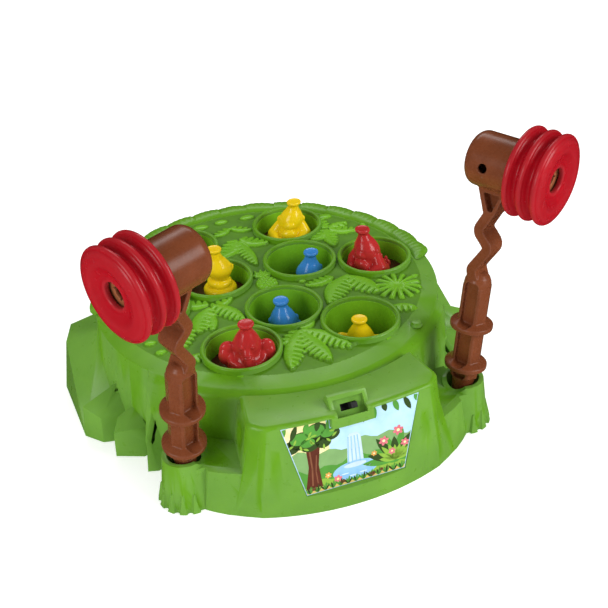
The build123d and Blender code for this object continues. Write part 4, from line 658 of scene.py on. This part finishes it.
def snake(bm):
    for y, z, ring, cord, rise, shift in ((0.0, 4.1, 8.2, 4.1, 0.8, 0.0), (-0.4, 10.4, 5.4, 3.5, 1.2, 140.0)):
        steps = 40
        for i in range(steps):
            a = 2 * math.pi * i / steps + math.radians(shift)
            ball(bm, ring * math.cos(a), y + ring * math.sin(a), z + rise * (i / steps - 0.5), cord)
    ball(bm, 0, 0, 6.0, 6.5, 6.5, 6.0)
    pear(bm, SNAKE_BODY, -1.6)
    ball(bm, 0, -8.4, 21.2, 5.4, 4.4, 3.6)
    for side in (-1, 1):
        ball(bm, side * 4.3, -8.2, 25.2, 2.3, 2.0, 2.3)
        ball(bm, side * 1.5, -12.4, 22.2, 0.7, 0.6, 0.6)
    for i in range(9):
        t = (i - 4) / 4
        ball(bm, 5.0 * t, -12.1 + 3.2 * t * t, 20.0 + 0.8 * t * t, 1.1, 0.7, 0.45)
    for z in (11.0, 13.2, 15.4, 17.6):
        ball(bm, 0, -6.4 - max(0, z - 13) * 0.5, z, 3.4, 1.5, 0.6)
    knob(bm, 0, -1.64, SNAKE_TOP, SNAKE_NECK)


MAKERS = {"elephant": elephant, "gorilla": gorilla, "snake": snake}


def figure(name):
    well, seat, shift, turn, lean = FIGURES[name]
    colour, animal = name.split("_")
    bm = bmesh.new()
    MAKERS[animal](bm)
    bmesh.ops.bisect_plane(bm, geom=bm.verts[:] + bm.edges[:] + bm.faces[:], plane_co=(0, 0, FOOT_CUT * MM),
                           plane_no=(0, 0, 1), clear_inner=True)
    rims = [e for e in bm.edges if e.is_boundary]
    bmesh.ops.holes_fill(bm, edges=rims)
    wx, wy = WELLS[well]
    place = Matrix.Translation(((wx + shift[0]) * MM, (wy + shift[1]) * MM, seat * MM)) \
        @ Matrix.Rotation(math.radians(turn), 4, "Z")
    bm.transform(place)
    nod = VIEW_RIGHT * lean[0] + VIEW_AWAY * lean[1]
    for v in bm.verts:
        rise = max(0.0, v.co.z / MM - seat) / LEAN_RISE
        v.co += nod * (rise ** LEAN_CURVE * MM)
    mesh = bpy.data.meshes.new(name + "_blobs")
    bm.to_mesh(mesh)
    bm.free()
    mesh = baked(name + "_shape", mesh, ("REMESH", {"mode": "VOXEL", "voxel_size": FIGURE_VOXEL * MM}),
                 ("SMOOTH", {"factor": 0.5, "iterations": 4}))
    piece = shown(name + "_figure", mesh, PAINT[colour], name)
    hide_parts(name)


for name in FIGURES:
    figure(name)

# Hammers, each with the place of its foot, the lean of its shaft and the direction of its head

HEAD_RISE = 153.2
FOOT_HEIGHT = 34.1
BELLOWS_STEPS = 128
RIB_CRESTS = (20.8, 30.1, 39.4)
RIB_MIDDLE, RIB_ROUND = 25.9, 1.9
SEAT_RADIUS = 17.15
BELLOWS_FACE = [
    (42.75, 22.2), (43.0, 20.0), (43.0, 18.6), (42.5, 16.9), (41.6, 15.0), (40.8, 13.2), (40.45, 11.4), (40.6, 10.0),
    (40.75, 9.0), (40.5, 8.1), (39.9, 7.65),
]
BELLOWS_INSIDE = [
    (37.8, 7.65), (37.25, 8.3), (37.25, 9.2), (38.5, 9.5), (38.45, 13.0), (39.4, 15.6), (40.7, 17.0), (40.9, 18.6),
    (40.2, 20.4), (38.0, 21.2), (30.0, 21.2), (23.0, 21.2),
]
HAMMERS = {
    "left": ((-96.2, -117.4), (0.026, -0.170), 205.5),
    "right": ((97.5, -116.3), (0.123, 0.026), 300.5),
}


def hammer_axes(side):
    """The direction of the head's axis and the point where it crosses the shaft."""
    foot, lean, spin = HAMMERS[side]
    up = Vector((lean[0], lean[1], 1)).normalized()
    ahead = Vector((math.cos(math.radians(spin)), math.sin(math.radians(spin)), 0))
    ahead = (ahead - up * ahead.dot(up)).normalized()
    foot = Vector((foot[0], foot[1], FOOT_HEIGHT))
    return ahead, foot + up * HEAD_RISE


def arc_points(centre, radius, start, end, steps):
    ways = [math.radians(start + (end - start) * i / steps) for i in range(steps + 1)]
    return [(centre[0] + radius * math.cos(way), centre[1] + radius * math.sin(way)) for way in ways]


def bellows_profile():
    """Distance along the head and radius: three round ribs, a bulging face and a dished mouth."""
    outside = [(15.6, SEAT_RADIUS), (15.2, 18.2), (15.7, 19.6), (16.6, 21.0)]
    for crest in RIB_CRESTS:
        outside += [(crest - 3.0, 24.0), (crest - 2.2, 25.7)]
        outside += reversed(arc_points((crest, RIB_MIDDLE), RIB_ROUND, 0, 180, 8))
        outside += [(crest + 2.2, 25.7), (crest + 3.0, 24.0)]
        if crest != RIB_CRESTS[-1]:
            outside += [(crest + 4.0, 23.1), (crest + 4.65, 22.9), (crest + 5.3, 23.1)]
    return outside + BELLOWS_FACE + BELLOWS_INSIDE + [(21.4, SEAT_RADIUS)]


for side in HAMMERS:
    ahead, head = hammer_axes(side)
    body = side + "_hammer"
    softened(side + "_hammer_handle", BARK, voxel=0.5, rounds=3)
    rubber = turned(side + "_bellows_look", bellows_profile(), head, ahead, VINYL, body,
                    BELLOWS_STEPS)
    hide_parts(side + "_bellows")
    moulded(side + "_catch", CATCH, bevel=0.2, angle=40)

# The label: a plain jungle clearing of hills, leaves, a pond and blossoms. A place on it is given from the
# middle of its foot, along the panel.

LABEL_LEAN = math.radians(7.06)
LABEL_ORIGIN = Vector((0, -161.6, 13.2))
LABEL_UP = Vector((0, math.sin(LABEL_LEAN), math.cos(LABEL_LEAN)))
LABEL_OUT = Vector((0, -math.cos(LABEL_LEAN), math.sin(LABEL_LEAN)))
LABEL_HEIGHT = 51.59
LABEL_LOW, LABEL_HIGH = 33.0, 45.2
NOTCH_HALF, NOTCH_DEPTH = 14.0, 7.5
PRINT_MARGIN = 0.6
INK_SHADE = 0.86
PRINT_LIFT, LAYER_LIFT = 0.40, 0.012
FAR = 99


def printed(name, tone, second=None):
    """Glossy ink, a little darker in places where no second tone is given."""
    second = second or tuple(c * INK_SHADE for c in tone)
    return plastic(name, tone, second, rough=0.22, cloud=140.0, edge_wear_and_highlight=0.0, coat=0.5, grain_depth=0.008)


INK = {
    "sky": printed("ink_sky", (0.42, 0.68, 0.86), (0.52, 0.76, 0.90)),
    "glow": printed("ink_glow", (0.88, 0.74, 0.28), (0.93, 0.84, 0.48)),
    "far": printed("ink_far", (0.24, 0.44, 0.16)),
    "dark": printed("ink_dark", (0.045, 0.085, 0.022)),
    "grass": printed("ink_grass", (0.28, 0.50, 0.06)),
    "leaf": printed("ink_leaf", (0.10, 0.34, 0.05)),
    "bark": printed("ink_bark", (0.13, 0.035, 0.020)),
    "bark_light": printed("ink_bark_light", (0.26, 0.10, 0.05)),
    "pond": printed("ink_pond", (0.25, 0.50, 0.78), (0.34, 0.60, 0.84)),
    "foam": printed("ink_foam", (0.62, 0.78, 0.88)),
    "path": printed("ink_path", (0.78, 0.56, 0.16)),
    "bloom": printed("ink_bloom", (0.80, 0.20, 0.24)),
    "petal": printed("ink_petal", (0.86, 0.42, 0.10)),
}


def cut(shape, a, b, c):
    """The part of a polygon where a * x + b * y is no more than c."""
    result = []
    for i, p in enumerate(shape):
        q = shape[(i + 1) % len(shape)]
        dp, dq = a * p[0] + b * p[1] - c, a * q[0] + b * q[1] - c
        if dp <= 0:
            result.append(p)
        if (dp < 0 < dq) or (dq < 0 < dp):
            t = dp / (dp - dq)
            result.append((p[0] + (q[0] - p[0]) * t, p[1] + (q[1] - p[1]) * t))
    return result


def inside_label(shape):
    """A polygon cut to the label's four straight edges."""
    lean = (LABEL_HIGH - LABEL_LOW) / LABEL_HEIGHT
    for a, b, c in (
        (0, -1, -PRINT_MARGIN), (0, 1, LABEL_HEIGHT - PRINT_MARGIN),
        (1, -lean, LABEL_LOW - PRINT_MARGIN), (-1, -lean, LABEL_LOW - PRINT_MARGIN),
    ):
        shape = cut(shape, a, b, c)
    return shape


def on_label(x, y, lift):
    return (LABEL_ORIGIN + Vector((1, 0, 0)) * x + LABEL_UP * y + LABEL_OUT * lift) * MM


print_layers = {}


def ink(colour, points, layer):
    """Adds a flat printed shape, kept clear of the notch round the switch."""
    notch_low = LABEL_HEIGHT - NOTCH_DEPTH - PRINT_MARGIN
    notch = NOTCH_HALF + PRINT_MARGIN
    for low_x, high_x, high_y in ((-FAR, -notch, FAR), (notch, FAR, FAR), (-notch, notch, notch_low)):
        shape = points
        for a, b, c in ((-1, 0, -low_x), (1, 0, high_x), (0, 1, high_y)):
            shape = cut(shape, a, b, c)
        shape = inside_label(shape)
        if len(shape) >= 3:
            print_layers.setdefault(colour, []).append((shape, layer))


def ribbon(colour, points, width, layer):
    for (x0, y0), (x1, y1) in zip(points, points[1:]):
        length = math.hypot(x1 - x0, y1 - y0) or 1
        nx, ny = -(y1 - y0) / length * width / 2, (x1 - x0) / length * width / 2
        ink(colour, [(x0 - nx, y0 - ny), (x1 - nx, y1 - ny), (x1 + nx, y1 + ny), (x0 + nx, y0 + ny)], layer)
        ink(colour, disc(x1, y1, width / 2, width / 2, 10), layer)


def disc(x, y, rx, ry, steps=20, turn=0.0):
    c, s = math.cos(math.radians(turn)), math.sin(math.radians(turn))
    shape = []
    for i in range(steps):
        a = 2 * math.pi * i / steps
        px, py = rx * math.cos(a), ry * math.sin(a)
        shape.append((x + px * c - py * s, y + px * s + py * c))
    return shape


def blade(x, y, length, width, turn):
    """A long leaf from its foot."""
    c, s = math.cos(math.radians(turn)), math.sin(math.radians(turn))
    shape = []
    for i in range(9):
        t = i / 8
        shape.append((length * t, -width / 2 * math.sin(math.pi * t) ** 0.8))
    for i in range(7, 0, -1):
        t = i / 8
        shape.append((length * t, width / 2 * math.sin(math.pi * t) ** 0.8))
    return [(x + px * c - py * s, y + px * s + py * c) for px, py in shape]


def bloom(x, y, size, layer):
    """Six petals round a bright middle."""
    for i in range(6):
        turn = 60 * i + 15
        way = math.radians(turn)
        px, py = x + size * 0.62 * math.cos(way), y + size * 0.62 * math.sin(way)
        ink("bloom" if size > 2 else "petal", disc(px, py, size * 0.52, size * 0.34, 12, turn), layer)
    ink("glow", disc(x, y, size * 0.34, size * 0.34, 12), layer + 1)


ink("sky", [(-60, -5), (60, -5), (60, 60), (-60, 60)], 0)
ink("glow", [(-60, -5), (-14, -5), (-17, 60), (-60, 60)], 1)
# Each hill has its lowest and highest edge, its colour, its layer and its phase.
HILLS = ((27, 31, "far", 2, 0.0), (16, 20, "leaf", 3, 1.4), (7, 9, "grass", 5, 2.6))
for low, high, colour, layer, phase in HILLS:
    hill = [(-60, -5), (60, -5)]
    for i in range(31):
        x = 60 - 4 * i
        swing = (high - low) / 2 * math.sin(x * 0.13 + phase) + 2 * math.sin(x * 0.31 + phase)
        hill.append((x, (low + high) / 2 + swing))
    ink(colour, hill, layer)
# A broad tree on the left
ink("bark", [(-33, 4), (-22, 4), (-23.5, 20), (-21, 38), (-31, 38), (-30, 20)], 6)
ribbon("bark_light", [(-28.5, 6), (-27.8, 18), (-28.6, 33)], 1.0, 7)
ribbon("bark_light", [(-25.0, 7), (-25.6, 16), (-24.4, 27)], 0.7, 7)
for x, y, r in ((-33, 40, 8), (-23, 43, 8.5), (-14, 40, 6), (-40, 37, 6), (-28, 36, 6.5), (-19, 35, 5)):
    ink("dark", disc(x, y, r, r * 0.78), 8)
for x, y, r in ((-34, 41.5, 6), (-24, 44.5, 6.4), (-16, 41, 4.4), (-29, 37.5, 4.6)):
    ink("leaf", disc(x, y, r, r * 0.7), 9)
for i in range(14):
    ink("grass", blade(-38 + i * 1.9, 38 + 4 * math.sin(i * 1.7), 4.2, 1.5, 200 + i * 43), 10)
# A pond with a small fall in the middle
ink("foam", [(-5, 13), (6, 13), (5, 33), (3, 36), (-2, 36), (-4, 33)], 6)
for x in (-3.2, -1.2, 0.9, 2.8):
    ribbon("pond", [(x, 34), (x * 1.2, 24), (x * 1.3, 14)], 0.8, 7)
ink("pond", disc(0, 9.5, 15, 6.5, 28), 7)
ink("foam", disc(0, 13.0, 7.5, 1.7, 20), 8)
for x, y in ((-7, 8), (5, 6.4), (8.5, 10), (-2, 5.6)):
    ink("foam", disc(x, y, 2.6, 0.45, 12), 8)
# Leafy bank with blossoms on the right
for i in range(11):
    ink("dark" if i % 2 else "leaf", blade(27, 8, 20 + 3 * math.sin(i * 2.1), 5.5, 8 + i * 16.4), 8 + i % 2)
for i in range(9):
    ink("grass", blade(27, 8, 13 + 2 * math.sin(i * 1.3), 3.2, 16 + i * 18.4), 11)
for i in range(7):
    ink("leaf", blade(39, 6, 12, 4.0, 60 + i * 16), 9)
BLOSSOMS = (
    (20, 24, 3.0), (30, 29, 3.2), (34, 19, 2.6), (25, 15, 2.2), (-12, 6, 2.6), (-18, 10.5, 2.0), (13, 17, 1.8),
)
for x, y, size in BLOSSOMS:
    bloom(x, y, size, 12)
# Stones, the path and low plants in front
ink("path", [(-60, -5), (60, -5), (60, 2.2), (20, 3.6), (0, 2.0), (-24, 4.2), (-60, 2.8)], 9)
for i in range(15):
    x = -36 + i * 5.1
    for k in range(4):
        ink("leaf" if (i + k) % 3 else "dark", blade(x, 0.5, 4.6 + (k % 2) * 1.2, 1.3, 55 + k * 24), 13)
for x, y, r in ((-9, 3.2, 1.8), (11, 2.8, 2.2), (17, 4.0, 1.5), (-28, 3.4, 1.6)):
    ink("bark_light", disc(x, y, r, r * 0.7, 14), 13)
# Hanging fronds along the top edge
for i in range(13):
    x = -42 + i * 7.0
    ink("dark" if i % 2 else "leaf", blade(x, 52, 9.5 + 2 * math.sin(i * 1.9), 3.6, -118 + i * 4.6), 14)

for colour, shapes in print_layers.items():
    verts, faces = [], []
    for shape, layer in shapes:
        start = len(verts)
        verts += [on_label(x, y, PRINT_LIFT + LAYER_LIFT * (layer + 1)) for x, y in shape]
        faces.append(list(range(start, start + len(shape))))
    made("print_" + colour, verts, faces, INK[colour], "base", smooth=False)
moulded("label", INK["sky"], bevel=0.1, angle=40)

# Floor, light and camera, in metres

FLOOR_HALF = 3.5
FLOOR_FRONT, FLOOR_BACK = -2.2, 1.5
FLOOR_CURVE = 0.9
FLOOR_SINK = 0.0002
FLOOR_STEPS = 24
FLOOR_GLOW = 0.42
STUDIO_LIGHT = 0.50
floor_verts, floor_faces = [], []
for i in range(FLOOR_STEPS + 1):
    t = i / FLOOR_STEPS
    if t < 0.5:
        y, z = FLOOR_FRONT + 2 * t * (FLOOR_BACK - FLOOR_FRONT), 0.0
    else:
        a = (t - 0.5) * math.pi
        y, z = FLOOR_BACK + FLOOR_CURVE * math.sin(a), FLOOR_CURVE * (1 - math.cos(a))
    floor_verts += [(-FLOOR_HALF, y, z - FLOOR_SINK), (FLOOR_HALF, y, z - FLOOR_SINK)]
    if i:
        floor_faces.append((2 * i - 2, 2 * i - 1, 2 * i + 1, 2 * i))
PALE = bpy.data.materials.new("pale_floor")
pale_shader = links(PALE)[1]
pale_shader.inputs["Base Color"].default_value = (0.93, 0.93, 0.93, 1)
pale_shader.inputs["Roughness"].default_value = 0.9
pale_shader.inputs["Emission Color"].default_value = (1.0, 1.0, 1.0, 1)
pale_shader.inputs["Emission Strength"].default_value = FLOOR_GLOW
floor_mesh = bpy.data.meshes.new("floor")
floor_mesh.from_pydata(floor_verts, [], floor_faces)
floor_mesh.materials.append(PALE)
floor_mesh.polygons.foreach_set("use_smooth", [True] * len(floor_mesh.polygons))
floor = bpy.data.objects.new("floor", floor_mesh)
bpy.context.scene.collection.objects.link(floor)
floor.visible_glossy = False

world = bpy.data.worlds.new("studio")
world.use_nodes = True
world.node_tree.nodes["Background"].inputs["Color"].default_value = (1.0, 1.0, 1.0, 1)
world.node_tree.nodes["Background"].inputs["Strength"].default_value = STUDIO_LIGHT
bpy.context.scene.world = world
world.cycles_visibility.glossy = False
bpy.context.scene.view_settings.view_transform = "Standard"


def soft_light(name, place, size, power, target=(0, 0, 0.05)):
    data = bpy.data.lights.new(name, "AREA")
    data.shape = "RECTANGLE"
    data.size, data.size_y = size
    data.energy = power
    lamp = bpy.data.objects.new(name, data)
    bpy.context.scene.collection.objects.link(lamp)
    lamp.location = place
    lamp.rotation_euler = (Vector(target) - Vector(place)).to_track_quat("-Z", "Y").to_euler()


soft_light("key", (1.15, -1.25, 0.95), (0.9, 0.9), 21.0)
soft_light("left_fill", (-1.45, -0.85, 0.85), (0.8, 0.9), 14.0)
soft_light("top_back", (0.35, 1.2, 1.5), (1.0, 0.5), 8.0)

FRAME_PIXELS = 608.0
FOCAL_PIXELS = 1085.795
SENSOR_WIDTH = 36.0
CAMERA_PLACE = Vector((-0.18992, -0.63450, 0.47215))
CAMERA_AIM = Vector((0.27288, 0.79657, -0.53945)).normalized()
CAMERA_ROLL = math.radians(-3.181)
level = CAMERA_AIM.cross(Vector((0, 0, 1))).normalized()
above = level.cross(CAMERA_AIM)
right = level * math.cos(CAMERA_ROLL) + above * math.sin(CAMERA_ROLL)
upward = above * math.cos(CAMERA_ROLL) - level * math.sin(CAMERA_ROLL)
camera_data = bpy.data.cameras.new("photo_camera")
camera_data.sensor_width = SENSOR_WIDTH
camera_data.lens = SENSOR_WIDTH * FOCAL_PIXELS / FRAME_PIXELS
camera = bpy.data.objects.new("photo_camera", camera_data)
bpy.context.scene.collection.objects.link(camera)
turn = Matrix((right, upward, -CAMERA_AIM)).transposed().to_4x4()
camera.matrix_world = Matrix.Translation(CAMERA_PLACE) @ turn
bpy.context.scene.camera = camera
